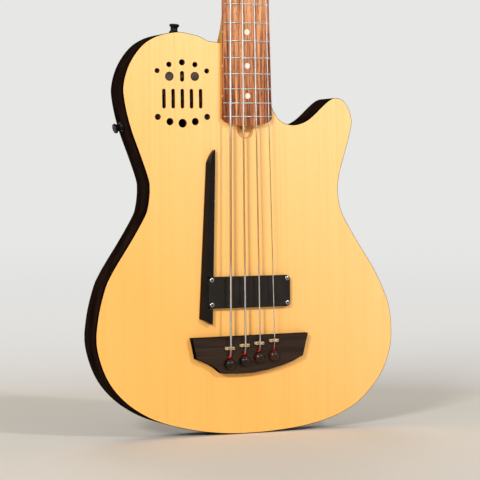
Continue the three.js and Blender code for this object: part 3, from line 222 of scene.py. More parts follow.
def tubeMesh(path, radius, sides):
    # a round bar along a path, with its length and its way round as uv
    tangents = []
    for i in range(len(path)):
        tangents.append((path[min(i + 1, len(path) - 1)] - path[max(i - 1, 0)]).normalized())
    across = tangents[0].orthogonal().normalized()
    points, travelled = [], [0.0]
    for i, (centre, tangent) in enumerate(zip(path, tangents)):
        across = (across - tangent * across.dot(tangent)).normalized()
        upward = tangent.cross(across)
        for angle in fullTurn(sides):
            sideways = across * (radius * math.cos(angle))
            points.append(centre + sideways + upward * (radius * math.sin(angle)))
        if i:
            travelled.append(travelled[-1] + (centre - path[i - 1]).length)
    faces, corners = bandFaces(len(path), sides), []
    for start, end in zip(travelled, travelled[1:]):
        for j in range(sides):
            near, far = j / sides, (j + 1) / sides
            corners += [(start, near), (start, far), (end, far), (end, near)]
    last = (len(path) - 1) * sides
    faces += [tuple(reversed(range(sides))), tuple(range(last, last + sides))]
    for length in (0, travelled[-1]):
        corners += [(length, j / sides) for j in range(sides)]
    mesh = meshFrom("tube", points, faces)
    layer = mesh.uv_layers.new(name="along")
    for corner, uv in zip(layer.data, corners):
        corner.uv = uv
    return smoothTo(mesh, 50)


def cutBy(piece, cutters):
    tool = joined("cutters", cutters)
    cut = piece.modifiers.new("cut", "BOOLEAN")
    cut.operation = "DIFFERENCE"
    cut.solver = "EXACT"
    cut.use_self = True
    cut.object = tool
    settled(piece)
    bpy.data.objects.remove(tool)
    return piece


def dressed(piece, *names):
    piece.data.materials.clear()
    for name in names:
        piece.data.materials.append(finishes[name])


def finished(piece, body, slot, *replaced, finish=None, degrees=35):
    if finish:
        dressed(piece, finish)
    smoothTo(piece.data, degrees)
    # beside an eased edge a flat face keeps its own direction
    even = piece.modifiers.new("even", "WEIGHTED_NORMAL")
    even.mode = "FACE_AREA"
    even.keep_sharp = True
    settled(piece)
    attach(piece, body)
    if replaced:
        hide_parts(*replaced)
    return piece


def showCopy(node, slot, finish, edge=0.0, segments=2, body="instrument", degrees=35, corner=40):
    # the CAD form with its edges eased
    piece = copyOf(node, node + "_form")
    if edge:
        bevelled(piece, edge * mm, segments, corner)
    return finished(piece, body, slot, node, finish=finish, degrees=degrees)


# Materials

def addNode(tree, kind, inputs=(), **attributes):
    # a node with its settings, its inputs linked where they are sockets
    node = tree.nodes.new(kind)
    for key, value in attributes.items():
        setattr(node, key, value)
    for key, value in dict(inputs).items():
        if isinstance(value, bpy.types.NodeSocket):
            tree.links.new(value, node.inputs[key])
        else:
            node.inputs[key].default_value = value
    return node


def tone(red, green, blue):
    # a colour as it is seen, 0 to 255, as the linear value that a shader takes
    def linear(value):
        value /= 255
        return value / 12.92 if value <= 0.04045 else ((value + 0.055) / 1.055) ** 2.4

    return (linear(red), linear(green), linear(blue), 1)


class Finish:
    def __init__(self, name, **sockets):
        self.material = bpy.data.materials.new(name)
        self.material.use_nodes = True
        self.tree = self.material.node_tree
        self.shader = self.tree.nodes["Principled BSDF"]
        for socket, value in sockets.items():
            self.shader.inputs[socket.replace("_", " ")].default_value = value
        self.coordinates = self.tree.nodes.new("ShaderNodeTexCoord")

    def node(self, kind, inputs=(), **attributes):
        return addNode(self.tree, "ShaderNode" + kind, inputs, **attributes)

    def paint(self, socket, value):
        self.tree.links.new(value, self.shader.inputs[socket])

    def axes(self):
        return self.node("SeparateXYZ", {0: self.coordinates.outputs["Object"]}).outputs

    def placed(self, scale):
        values = {"Vector": self.coordinates.outputs["Object"], "Scale": scale}
        return self.node("Mapping", values).outputs[0]

    def noise(self, vector, scale=1, detail=3, roughness=0.5, distortion=0):
        values = {"Vector": vector, "Scale": scale, "Detail": detail, "Roughness": roughness}
        values["Distortion"] = distortion
        return self.node("TexNoise", values).outputs["Fac"]

    def ramp(self, factor, stops):
        node = self.node("ValToRGB", {"Fac": factor})
        band = node.color_ramp
        while len(band.elements) < len(stops):
            band.elements.new(0.5)
        for element, (position, colour) in zip(band.elements, stops):
            element.position = position
            element.color = colour
        return node.outputs["Color"]

    def grey(self, factor, low, high, start=0.0, end=1.0):
        values = {"Value": factor, "From Min": start, "From Max": end, "To Min": low, "To Max": high}
        return self.node("MapRange", values).outputs["Result"]

    def mix(self, factor, one, two, blend="MIX"):
        inputs = {0: factor, 6: one, 7: two}
        return self.node("Mix", inputs, data_type="RGBA", blend_type=blend).outputs[2]

    def sum(self, operation, one, two=0.0, clamp=False):
        node = self.node("Math", {0: one, 1: two}, operation=operation, use_clamp=clamp)
        return node.outputs[0]

    def bump(self, height, strength, distance):
        values = {"Height": height, "Strength": strength, "Distance": distance}
        self.paint("Normal", self.node("Bump", values).outputs[0])


def makeSpruce():
    grain = {
        "pale": tone(255, 219, 152),
        "gold": tone(254, 212, 141),
        "lateWood": tone(240, 181, 103),
        "fleck": tone(255, 225, 167),
        "ringsPerMetre": 560,
        "broadPerMetre": 55,
        "fleckScale": (110, 1, 1000),
        "sway": 0.012,  # how far the rings wander, in metres
        "stretch": 0.004,  # how fast they change along the board
        "paintedShade": (1.0, 0.755, 0.42, 1),  # painted shade: what the lower bass side keeps of each colour, where less light falls
        "paintedShadeFrom": 0.13,
        "acrossBody": 2.2,
        "upBody": 2.5,
    }
    wood = Finish("spruce lacquered", Roughness=0.34)
    axes = wood.axes()
    x = wood.sum("SUBTRACT", axes[0], centreX)
    z = wood.sum("SUBTRACT", axes[2], bridgeZ)
    waver = wood.noise(wood.placed((5, 1, 1.6)), 1, 2)
    bend = wood.sum("MULTIPLY", wood.sum("SUBTRACT", waver, 0.5), grain["sway"])
    shifted = wood.sum("ADD", wood.sum("ABSOLUTE", x), bend)
    lengthwise = wood.sum("MULTIPLY", z, grain["stretch"])
    lined = wood.node("CombineXYZ", {0: shifted, 2: lengthwise}).outputs[0]
    rings = wood.noise(lined, grain["ringsPerMetre"], 2, 0.6)
    broad = wood.noise(lined, grain["broadPerMetre"], 3, 0.6)
    flecks = wood.noise(wood.placed(grain["fleckScale"]), 1, 3, 0.5, 0.6)
    ground = wood.ramp(broad, [(0.3, grain["gold"]), (0.7, grain["pale"])])
    lines = wood.grey(rings, 0, 0.34, 0.52, 0.72)
    ringed = wood.mix(lines, ground, grain["lateWood"])
    silk = wood.grey(flecks, 0, 0.4, 0.52, 0.7)
    flecked = wood.mix(silk, ringed, grain["fleck"])
    # painted light and shade: the colour is multiplied by a slope that pales towards the treble side and
    # the upper bout and deepens towards the lower bass side, as the light falls off
    across = wood.sum("MULTIPLY", x, grain["acrossBody"])
    upwards = wood.sum("MULTIPLY", z, grain["upBody"])
    sloped = wood.sum("ADD", across, upwards)
    paintedLitShare = wood.sum("ADD", sloped, grain["paintedShadeFrom"], clamp=True)
    shade = wood.mix(paintedLitShare, grain["paintedShade"], (1, 1, 1, 1))
    wood.paint("Base Color", wood.mix(1.0, flecked, shade, "MULTIPLY"))
    wood.paint("Roughness", wood.grey(broad, 0.30, 0.38))
    wood.bump(rings, 0.06, 0.0002)
    return wood.material


def makeGrained(
    name, tones, roughness, along=(1, 1, 0.03), fine=900, broad=70, pores=0.0, bump=0.05,
    poreTone=None, shine=0.5, shaded=None,
):
    # a hardwood whose grain runs up the instrument: dark, middle and light tones
    wood = Finish(name, Roughness=roughness, Specular_IOR_Level=shine)
    wander = wood.noise(wood.placed((9, 9, 2.5)), 1, 2)
    sway = wood.sum("MULTIPLY", wander, 0.006)
    bend = wood.node("CombineXYZ", {0: sway, 1: sway}).outputs[0]
    shifted = wood.node("VectorMath", {0: wood.placed(along), 1: bend}, operation="ADD").outputs[0]
    streaks = wood.noise(shifted, broad, 4, 0.62)
    fibres = wood.noise(shifted, fine, 3, 0.6)
    dark, middle, light = (tone(*colour) for colour in tones)
    deep = tone(*poreTone) if poreTone else dark
    # shaded: a function that shifts the tones with painted light and shade
    share = shaded(wood, streaks) if shaded else streaks
    stops = [(0.3, dark), (0.5, middle), (0.7, light)]
    if shaded:
        stops.insert(0, (0.12, deep))
    ground = wood.ramp(share, stops)
    coloured = wood.mix(wood.grey(fibres, 0, 0.45, 0.45, 0.75), ground, dark)
    height = fibres
    if pores:
        holes = wood.noise(wood.placed((1, 1, 0.09)), 1500, 1, 0.4)
        marks = wood.grey(holes, 0, pores, 0.62, 0.7)
        coloured = wood.mix(marks, coloured, deep)
        height = wood.sum("SUBTRACT", fibres, marks)
    wood.paint("Base Color", coloured)
    wood.paint("Roughness", wood.grey(streaks, roughness - 0.05, roughness + 0.06, 0.3, 0.7))
    wood.bump(height, bump, 0.0003)
    return wood.material


# painted shade towards the lower end of the fingerboard, painted light towards its upper end, and darker
# sides
boardShade = {
    "sides": 0.12,
    "sidesFrom": 0.016,  # metres off the centreline
    "sidesTo": 0.026,
    "end": 0.12,
    "upper": -0.02,
    "endZ": 0.235,  # metres above the bridge line
    "upperZ": 0.36,
}


def darkerEdges(wood, streaks):
    # darker near the sides; painted shade towards the lower end of the fingerboard and painted light
    # towards its upper end
    axes = wood.axes()
    off = wood.sum("ABSOLUTE", wood.sum("SUBTRACT", axes[0], centreX))
    side = wood.grey(off, 0, boardShade["sides"], boardShade["sidesFrom"], boardShade["sidesTo"])
    low, high = bridgeZ + boardShade["endZ"], bridgeZ + boardShade["upperZ"]
    end = wood.grey(axes[2], boardShade["end"], boardShade["upper"], low, high)
    return wood.sum("SUBTRACT", wood.sum("SUBTRACT", streaks, side), end)


def makeMoulded(name, fresh, worn, roughness, bump, shine, tooth=2600):
    # moulded or lacquered black: a fine tooth and faint clouding of the gloss
    plastic = Finish(name, Roughness=roughness, Specular_IOR_Level=shine)
    cloud = plastic.noise(plastic.placed((60, 60, 60)), 1, 4)
    grit = plastic.noise(plastic.placed((tooth, tooth, tooth)), 1, 2)
    base = tone(*fresh)
    light = tone(*worn) if worn else tuple(min(1, value * 1.7 + 0.002) for value in base[:3]) + (1,)
    plastic.paint("Base Color", plastic.ramp(cloud, [(0.35, base), (0.75, light)]))
    plastic.paint("Roughness", plastic.grey(cloud, roughness - 0.03, roughness + 0.05, 0.3, 0.7))
    plastic.bump(grit, bump, 0.0001)
    return plastic.material


def makeMetal(name, colour, roughness, brushed=(300, 300, 300), bump=0.02):
    metal = Finish(name, Metallic=1.0, Roughness=roughness)
    marks = metal.noise(metal.placed(brushed), 1, 3, 0.6)
    base = tone(*colour)
    dull = tuple(value * 0.9 for value in base[:3]) + (1,)
    metal.paint("Base Color", metal.ramp(marks, [(0.3, dull), (0.6, base)]))
    metal.paint("Roughness", metal.grey(marks, roughness - 0.02, roughness + 0.04, 0.3, 0.7))
    metal.bump(marks, bump, 0.0001)
    return metal.material


# the wires' tones along the string: painted light and reflection
wrap = {
    "bright": tone(208, 204, 202),
    "dull": tone(166, 130, 92),
    "played": tone(176, 168, 160),
    "turnsPerMetre": {"e": 1350, "a": 1600, "d": 1900, "g": 2400},
    "span": 0.3,  # the length above the bridge line over which the wire's tone changes
}


def makeWound(name, turnsPerMetre):
    # the wrap wire as bands across the string; its tone along the string is painted light and reflection:
    # paler over the fingerboard, browner over the body, greyer near the bridge
    wire = Finish(name, Metallic=1.0, Roughness=0.34)
    uv = wire.node("UVMap", uv_map="along").outputs[0]
    split = wire.node("SeparateXYZ", {0: uv})
    skewed = wire.sum("ADD", wire.sum("MULTIPLY", split.outputs[0], turnsPerMetre), split.outputs[1])
    phase = wire.sum("MULTIPLY", skewed, 2 * math.pi)
    bands = wire.sum("SINE", phase)
    share = wire.grey(wire.axes()[2], 0, 1, bridgeZ, bridgeZ + wrap["span"])
    dull = wrap["dull"]
    base = wire.ramp(share, [(0.24, wrap["played"]), (0.3, dull), (0.72, dull), (0.82, wrap["bright"])])
    groove = wire.grey(bands, 0.45, 1, -1, 0.2)
    dimmed = wire.node("CombineXYZ", {0: groove, 1: groove, 2: groove}).outputs[0]
    wire.paint("Base Color", wire.mix(1.0, base, dimmed, "MULTIPLY"))
    wire.bump(bands, 0.3, 0.0001)
    return wire.material


def makeSilk():
    thread = Finish("red silk", Roughness=0.75)
    twist = thread.node("TexWave", {"Vector": thread.placed((1, 1, 1)), "Scale": 700.0, "Distortion": 2.0})
    twist.bands_direction = "Z"
    shade = twist.outputs["Fac"]
    thread.paint("Base Color", thread.ramp(shade, [(0.1, tone(196, 10, 6)), (0.8, tone(250, 34, 24))]))
    thread.bump(shade, 0.4, 0.0001)
    return thread.material


def makePearl():
    shell = Finish("pearl", Roughness=0.22)
    cloud = shell.noise(shell.placed((330, 330, 210)), 1, 3, 0.5, 1.5)
    stops = [(0.3, tone(214, 214, 205)), (0.55, tone(250, 249, 243)), (0.75, tone(226, 232, 236))]
    shell.paint("Base Color", shell.ramp(cloud, stops))
    shell.shader.inputs["Coat Weight"].default_value = 0.4
    return shell.material


# each moulding: its name, its colours as they are seen, fresh and worn, roughness, bump, shine, tooth
mouldings = {
    "blackGloss": ("black gloss", (13, 8, 6), None, 0.14, 0.01, 0.15),
    "blackSatin": ("black satin", (22, 18, 15), None, 0.42, 0.12, 0.18),
    "strapBlack": ("black strap button", (16, 13, 11), None, 0.25, 0.02, 0.12),
    "bindingBlack": ("black edge band", (12, 9, 7), (22, 18, 15), 0.35, 0.02, 0.0),
    "greyPlastic": ("grey moulding", (88, 87, 82), None, 0.55, 0.15, 0.5),
    "bone": ("bone", (234, 222, 192), (246, 238, 214), 0.35, 0.02, 0.5),
    # the walls of the holes and slots: dark reddish brown, painted shade inside them
    "holeEdge": ("darkened hole edge", (84, 36, 26), (120, 60, 42), 0.5, 0.1, 0.5),
    "cloth": ("speaker cloth", (30, 24, 22), (64, 50, 46), 0.8, 0.5, 0.2, 1500),
    "sliderBlack": ("slider tab", (10, 9, 8), (28, 26, 24), 0.38, 0.05, 0.15),
    "switchGrey": ("switch tab", (48, 38, 34), (80, 62, 54), 0.45, 0.08, 0.2),
    "buttonGrey": ("rubbed grey cap", (50, 44, 39), (98, 87, 77), 0.5, 0.3, 0.2, 900),
    "pinWood": ("polished pin wood", (8, 4, 3), (66, 30, 16), 0.14, 0.01, 0.3),
    "saddleScrew": ("saddle screw", (184, 112, 40), (220, 150, 70), 0.3, 0.02, 0.5),
    "saddleBone": ("saddle bone", (216, 198, 166), (242, 230, 206), 0.3, 0.02, 0.5),
}
# each metal: its name, its colour as it is seen, roughness, the scale of its brushing and the bump
metals = {
    "chrome": ("chrome", (222, 223, 226), 0.1, (1400, 1400, 500), 0.004),
    "fretSilver": ("nickel silver", (188, 193, 196), 0.3, (900, 900, 900), 0.004),
    "plainSteel": ("plain steel", (176, 172, 166), 0.32),
    "brass": ("turned brass", (206, 160, 86), 0.26),
    "screwSteel": ("screw steel", (168, 166, 164), 0.2),
}
finishes = {
    "spruce": makeSpruce(),
    "stain": makeGrained(
        "dark stained body", ((20, 13, 11), (35, 24, 20), (50, 36, 30)), 0.5, bump=0.04, shine=0.0,
    ),
    "maple": makeGrained(
        "amber maple", ((216, 148, 52), (242, 182, 78), (252, 202, 104)), 0.34,
        fine=600, broad=38, bump=0.03, shine=0.03,
    ),
    "rosewood": makeGrained(
        "rosewood", ((120, 60, 30), (226, 156, 108), (248, 196, 148)), 0.4, broad=420,
        pores=0.85, bump=0.12, poreTone=(84, 38, 18), shine=0.25, shaded=darkerEdges,
    ),
    "bridgeWood": makeGrained(
        "dark bridge wood", ((28, 19, 15), (45, 34, 27), (62, 48, 38)), 0.46,
        along=(0.03, 1, 1), broad=120, pores=0.4, bump=0.1, shine=0.1,
    ),
    "bareWood": makeGrained(
        "bare wood of the block", ((252, 194, 126), (255, 212, 150), (255, 226, 174)), 0.2,
        fine=700, broad=90,
    ),
    "silk": makeSilk(),
    "pearl": makePearl(),
}
for name, values in mouldings.items():
    finishes[name] = makeMoulded(*values)
for name, values in metals.items():
    finishes[name] = makeMetal(*values)
for name, perMetre in wrap["turnsPerMetre"].items():
    finishes["wound_" + name] = makeWound("wound string " + name, perMetre)
print("finishes ready")

# The fingerboard's sizes, whose taper the pocket in the body follows too

board = {
    "nutWidth": 37.0,
    "endWidth": 57.8,
    "endZ": 232.0,
    "endBulge": (0.93, 0.45),  # how full the end's curve is, as shares of the half width
    "endDip": 0.1,
    "cornerZ": 240.5,
    "height": 7.6,
    "radius": 355.0,
    "columns": 24,
    "rows": 30,
    "endRows": 4,
    "edge": 0.55,
    "sideDotY": 5.0,
    "frets": 22,
    "fretWidth": 1.45,
    "fretCrown": 1.1,
    "fretFoot": 0.4,
    "fretFlat": 0.97,  # the share of a fret's length between its sloped ends
    "fretInset": 1.0,
    "dotFrets": (3, 5, 7, 9, 15, 17, 19, 21),
    "dotRadius": 3.1,
    "doubleSpread": 10.5,
    "sideDotRadius": 1.05,
    "sideDotSpread": 4.0,
    "dotRise": 0.03,
}


def boardHalfWidth(z):
    share = (scaleLength - z) / (scaleLength - board["endZ"])
    return (board["nutWidth"] + (board["endWidth"] - board["nutWidth"]) * share) / 2


# Body

body = {
    "depth": 46.0,
    "backRound": 9.0,
    "roundSteps": 7,
    "boardThickness": 4.5,
    "topEdge": 0.12,
    "gap": 0.3,
    "overrun": 2,  # how far a cutter passes a face
    "bindingWidth": 0.5,
    "bindingRound": 0.4,
    "rimWall": 13.0,
    "backFloor": 6.0,
    "backFlat": 1.5,
    "blockWidth": 76.0,
    "heelDepth": 14.4,
    "heelFoot": 240.2,
    "heelTop": 325.5,
    "scoopRadius": 9.6,
    "scoopZ": 228.1,
    "coil": (82.0, 26.0),
    "coilDepth": 16.0,
    "pinBore": 2.9,
    "pinDepth": 8.5,
    "boltHead": 3.1,
    "boltBore": 2.7,
    "boxFlange": 3.7,
    "boxLip": 5,
    "boxOverrun": 3,
    "jackBore": 5.9,
    "smoothing": 4,
}


def bodyOutline():
    # the ring of corners where the back's rounding starts, in order round a point inside the body
    level = faceY + (body["depth"] - body["backRound"]) * mm
    corners = [v.co for v in nodes["body_shell"].data.vertices if abs(v.co.y - level) < 2e-5]
    ring = {(round(corner.x, 6), round(corner.z, 6)) for corner in corners}
    pivot = place(0, 0, 120)
    return sorted(ring, key=lambda p: math.atan2(p[1] - pivot.z, p[0] - pivot.x))


def smoothLoop(loop, steps):
    # a closed curve through the corners
    count, out = len(loop), []
    points = [Vector(p) for p in loop]
    for i in range(count):
        a, b, c, d = (points[(i + k - 1) % count] for k in range(4))
        for step in range(steps):
            t = step / steps
            bend = (2 * a - 5 * b + 4 * c - d) * t * t
            twist = (3 * b - a - 3 * c + d) * t ** 3
            out.append(0.5 * (2 * b + (c - a) * t + bend + twist))
    return out


def inset(loop, distance):
    count, out = len(loop), []
    for i, point in enumerate(loop):
        along = (loop[(i + 1) % count] - loop[i - 1]).normalized()
        out.append(point - Vector((along.y, -along.x)) * distance)
    return out


def heldIn(loop, low, high):
    return [Vector((min(max(p.x, low.x), high.x), min(max(p.y, low.z), high.z))) for p in loop]


outline = heldIn(smoothLoop(bodyOutline(), body["smoothing"]), *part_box("body_shell"))
print("outline", len(outline), "points")


def pocketMesh(backY):
    # the neck's pocket, from before the soundboard's face to a depth
    gap = body["gap"]
    foot, top = body["heelFoot"] - gap, body["heelTop"]
    corners = [(-boardHalfWidth(foot) - gap, foot), (boardHalfWidth(foot) + gap, foot)]
    corners += [(boardHalfWidth(top) + gap, top), (-boardHalfWidth(top) - gap, top)]
    loop = [onFace(x, z) for x, z in corners]
    return prismMesh(loop, levelY(-body["overrun"]), levelY(backY))


def rodMesh(radius, low, high, segments=40):
    # a plain bar between two points that share two of their coordinates
    axis = max(range(3), key=lambda i: abs(high[i] - low[i]))
    length = (high - low).length
    profile = [(0, 0), (radius, 0), (radius, length), (0, length)]
    return turnedMesh(profile, segments, low, "XYZ"[axis])


def boreMesh(radius, centre, frontY, backY, segments=40):
    start, end = Vector((centre.x, frontY, centre.z)), Vector((centre.x, backY, centre.z))
    return rodMesh(radius, start, end, segments)


def sphereMesh(radius, centre):
    steps = 16
    turns = [math.pi * i / steps for i in range(steps + 1)]
    profile = [(radius * math.sin(turn), -radius * math.cos(turn)) for turn in turns]
    profile[0], profile[-1] = (0, -radius), (0, radius)
    return turnedMesh(profile, 40, centre)


def scoopMeshes():
    centre = place(0, 0, body["scoopZ"])
    top = place(0, 0, body["heelFoot"])
    return [sphereMesh(body["scoopRadius"] * mm, centre), rodMesh(body["scoopRadius"] * mm, centre, top)]


def frontCutters(backY):
    # the pickup's coil pocket and the bores of the bridge pins
    width, length = body["coil"]
    gap, frontY = body["gap"], -body["overrun"]
    low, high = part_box("pickup")
    coilZ, reach = (low.z + high.z) / 2, (length / 2 + gap) * mm
    low, high = place(-width / 2 - gap, frontY, 0), place(width / 2 + gap, backY, 0)
    low.z, high.z = coilZ - reach, coilZ + reach
    cutters = [boxMesh(low, high)]
    for name in stringNames:
        pin = middleOf("bridge_pin_" + name)
        endY = levelY(body["pinDepth"])
        cutters.append(boreMesh(body["pinBore"] * mm, pin, levelY(frontY), endY, 24))
    return cutters


def ringAt(loop, y):
    return [(p.x, y, p.y) for p in loop]


def stackedMesh(name, rings, closed=False):
    # rings of equal length, each joined to the next: capped at both ends, or the last joined to the first
    count = len(rings[0])
    points = [p for ring in rings for p in ring]
    faces = bandFaces(len(rings), count, closed)
    for r in () if closed else (0, len(rings) - 1):
        cap = tessellate_polygon([[Vector(p) for p in rings[r]]])
        faces += [tuple(r * count + i for i in face) for face in cap]
    return closedMesh(name, points, faces)


def paintFaces(mesh, index, chosen):
    for face in mesh.polygons:
        if chosen(face):
            face.material_index = index


def inScoop(face):
    reach = Vector((face.center.x - centreX, face.center.z - bridgeZ - body["scoopZ"] * mm))
    inside = abs(reach.x) < (body["scoopRadius"] + body["gap"]) * mm and reach.length < 14 * mm
    return inside and face.center.y > faceY + 1 * mm and abs(face.normal.y) < 0.999


def nearLoop(spot, loop):
    xs, zs = zip(*loop)
    margin = 0.3 * mm
    beside = min(xs) - margin < spot.x < max(xs) + margin
    return beside and min(zs) - margin < spot.z < max(zs) + margin


def shellRings():
    # from the seat of the top, over the rounded edge, to the flat of the back
    radius, steps = body["backRound"], body["roundSteps"]
    start = levelY(body["boardThickness"] + body["gap"])
    rings = [ringAt(outline, start), ringAt(outline, levelY(body["depth"] - radius))]
    for turn in quarterTurn(steps)[1:]:
        shifted = inset(outline, radius * (1 - math.cos(turn)) * mm)
        depth = body["depth"] - radius * (1 - math.sin(turn))
        rings.append(ringAt(shifted, levelY(depth)))
    flat = inset(outline, (radius + body["backFlat"]) * mm)
    return rings + [ringAt(flat, levelY(body["depth"]))]


def makeChambers():
    # the hollows on both sides of the solid middle
    inner = [tuple(p) for p in inset(outline[::2], body["rimWall"] * mm)]
    floorY = levelY(body["depth"] - body["backFloor"])
    chambers = objectFrom("chambers", prismMesh(inner, levelY(0), floorY))
    half = body["blockWidth"] / 2
    return cutBy(chambers, [boxMesh(place(-half, -5, -150), place(half, 60, 400))])


def batteryCutters():
    # a shallow recess for the flange of the battery box, and the well for the box
    low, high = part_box("battery_box")
    gap, lip, over = body["gap"] * mm, body["boxLip"] * mm, body["boxOverrun"] * mm
    recess = boxMesh(
        (low.x - gap, high.y - body["boxFlange"] * mm, low.z - gap),
        (high.x + gap, high.y + over, high.z + gap),
    )
    well = boxMesh(
        (low.x + lip - gap, low.y - gap, low.z + lip - gap),
        (high.x - lip + gap, high.y + over, high.z - lip + gap),
    )
    return [recess, well]


def backCutters():
    # seats and bores of the neck bolts, and the bore of the jack
    cutters = []
    for number in range(1, 5):
        low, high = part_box("neck_bolt_%d" % number)
        centre, over = (low + high) / 2, body["boxOverrun"] * mm
        seat, reach = high.y - body["boltHead"] * mm, (high.x - low.x) / 2 + body["gap"] * mm
        cutters.append(boreMesh(reach, centre, seat, high.y + over))
        endY = levelY(body["heelDepth"] - 1)
        cutters.append(boreMesh(body["boltBore"] * mm, centre, endY, high.y, 24))
    low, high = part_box("output_jack")
    jack = (low + high) / 2
    start = Vector((low.x - 4 * mm, jack.y, jack.z))
    end = Vector((high.x, jack.y, jack.z))
    return cutters + [rodMesh(body["jackBore"] * mm, start, end)]


def makeBodyShell():
    shell = objectFrom("body_back_and_sides", stackedMesh("shell", shellRings()))
    chambers = makeChambers()
    cutters = [chambers.data, pocketMesh(body["heelDepth"] + body["gap"])] + batteryCutters()
    cutters += scoopMeshes() + frontCutters(body["coilDepth"]) + backCutters()
    cutBy(shell, cutters)
    bpy.data.objects.remove(chambers)
    dressed(shell, "stain", "bareWood")
    paintFaces(shell.data, 1, inScoop)
    finished(shell, "instrument", "dark_wood", "body_shell")


def plateFrom(name, loops, frontY, backY, edge):
    # a flat piece with holes, its edges eased on both faces
    curve = bpy.data.curves.new(name, "CURVE")
    curve.dimensions = "2D"
    curve.fill_mode = "BOTH"
    curve.extrude = (backY - frontY) / 2 - edge
    curve.bevel_depth = edge
    curve.bevel_resolution = 1
    curve.offset = -edge
    for loop in loops:
        spline = curve.splines.new("POLY")
        spline.points.add(len(loop) - 1)
        for point, (x, z) in zip(spline.points, loop):
            point.co = (x, z, 0, 1)
        spline.use_cyclic_u = True
    plate = settled(objectFrom(name, curve))
    upright = Matrix.Rotation(math.pi / 2, 4, "X")
    plate.data.transform(Matrix.Translation((0, (frontY + backY) / 2, 0)) @ upright)
    faceOutwards(plate.data)
    return plate


def circleLoop(x, z, radius, count=32):
    centre, reach = place(x, 0, z), radius * mm
    return [(centre.x + reach * math.cos(t), centre.z + reach * math.sin(t)) for t in fullTurn(count)]


def slotLoop(x, z, width, length):
    reach, radius, count = (length - width) / 2, width / 2, 16
    points = []
    for end in (1, -1):
        for i in range(count + 1):
            turn = math.pi * i / count + (0 if end > 0 else math.pi)
            points.append(onFace(x + radius * math.cos(turn), z + end * reach + radius * math.sin(turn)))
    return points


rosette = {
    "x": -72.5,
    "drop": 71.0,
    "upper": (49.3, 38.7, 17.6, (6.7, 5.9, 5.6)),
    "lower": (62.3, -26.2, 13.5, (9.4, 7.9, 6.7)),
    "sliderPitch": 10.5,
    "slot": (4.0, 21.1),
    "buttonSpread": 14.6,
    "buttonRise": 23.8,
    "buttonHole": 4.85,
    "switchSlot": (4.6, 11.4),
}
rosetteZ = (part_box("body_shell")[1].z - bridgeZ) / mm - rosette["drop"]


def soundHoles():
    places = []
    for radius, height, step, diameters in (rosette["upper"], rosette["lower"]):
        outermost = len(diameters) - 1
        for n in range(-outermost, outermost + 1):
            turn = math.radians(n * step)
            bulge = math.copysign(radius * (1 - math.cos(turn)), height)
            x = rosette["x"] + radius * math.sin(turn)
            places.append((x, rosetteZ + height - bulge, diameters[abs(n)] / 2))
    return places


def makeSoundboard():
    loops = [[tuple(p) for p in inset(outline, (body["bindingWidth"] + 0.02) * mm)]]
    loops += [circleLoop(x, z, radius) for x, z, radius in soundHoles()]
    for n in range(5):
        loops.append(slotLoop(rosette["x"] + (n - 2) * rosette["sliderPitch"], rosetteZ, *rosette["slot"]))
    buttonZ = rosetteZ + rosette["buttonRise"]
    for side in (-1, 1):
        x = rosette["x"] + side * rosette["buttonSpread"]
        loops.append(circleLoop(x, buttonZ, rosette["buttonHole"], 40))
    loops.append(slotLoop(rosette["x"], buttonZ, *rosette["switchSlot"]))
    backY = levelY(body["boardThickness"])
    top = plateFrom("spruce_top", loops, faceY, backY, body["topEdge"] * mm)
    through = body["boardThickness"] + body["overrun"]
    cutBy(top, [pocketMesh(through)] + scoopMeshes() + frontCutters(through))
    dressed(top, "spruce", "holeEdge")
    openings = loops[1:]

    def inOpening(face):
        if face.center.y < faceY + 0.05 * mm or abs(face.normal.y) > 0.8:
            return False
        return any(nearLoop(face.center, loop) for loop in openings)

    # painted shade on the walls of the openings
    paintFaces(top.data, 1, inOpening)
    finished(top, "instrument", "spruce", "soundboard", degrees=30)


def makeBinding():
    # a thin band round the edge of the top, rounded outside
    width, reach = body["bindingWidth"], body["bindingRound"]
    section = [(width, body["boardThickness"]), (width, 0.05), (width - 0.05, 0.0), (reach, 0.0)]
    for turn in quarterTurn(5)[1:]:
        section.append((reach * (1 - math.sin(turn)), reach * (1 - math.cos(turn))))
    section.append((0, body["boardThickness"]))
    rings = [ringAt(inset(outline, depth * mm), levelY(y)) for depth, y in section]
    band = objectFrom("binding", stackedMesh("binding", rings, closed=True))
    cutBy(band, [pocketMesh(body["boardThickness"] + body["overrun"])])
    finished(band, "instrument", "black_gloss", "edge_binding", finish="bindingBlack")


makeBodyShell()
makeSoundboard()
makeBinding()
print("body ready")

# Repeated pieces with Geometry Nodes

class NodeTree:
    def __init__(self, name, sockets):
        # sockets: the name and kind of each input
        self.group = bpy.data.node_groups.new(name, "GeometryNodeTree")

        def socket(label, kind, way="INPUT"):
            kind = "NodeSocket" + kind
            return self.group.interface.new_socket(name=label, in_out=way, socket_type=kind).identifier

        socket("Geometry", "Geometry")
        socket("Geometry", "Geometry", "OUTPUT")
        self.sockets = {label: socket(label, kind) for label, kind in sockets.items()}
        self.given = self.group.nodes.new("NodeGroupInput")

    def add(self, kind, inputs=(), output=0, **attributes):
        return addNode(self.group, kind, inputs, **attributes).outputs[output]

    def math(self, operation, one, two=0.0):
        return self.add("ShaderNodeMath", {0: one, 1: two}, operation=operation)

    def close(self, geometry):
        # real geometry with its material, because instances aren't exported
        real = self.add("GeometryNodeRealizeInstances", {0: geometry})
        inputs = {"Geometry": real, "Material": self.given.outputs["Material"]}
        painted = self.add("GeometryNodeSetMaterial", inputs)
        out = self.group.nodes.new("NodeGroupOutput")
        self.group.links.new(painted, out.inputs[0])

    def applied(self, piece, **values):
        grown = piece.modifiers.new("repeat", "NODES")
        grown.node_group = self.group
        for label, value in values.items():
            grown[self.sockets[label.replace("_", " ")]] = value
        return settled(piece)


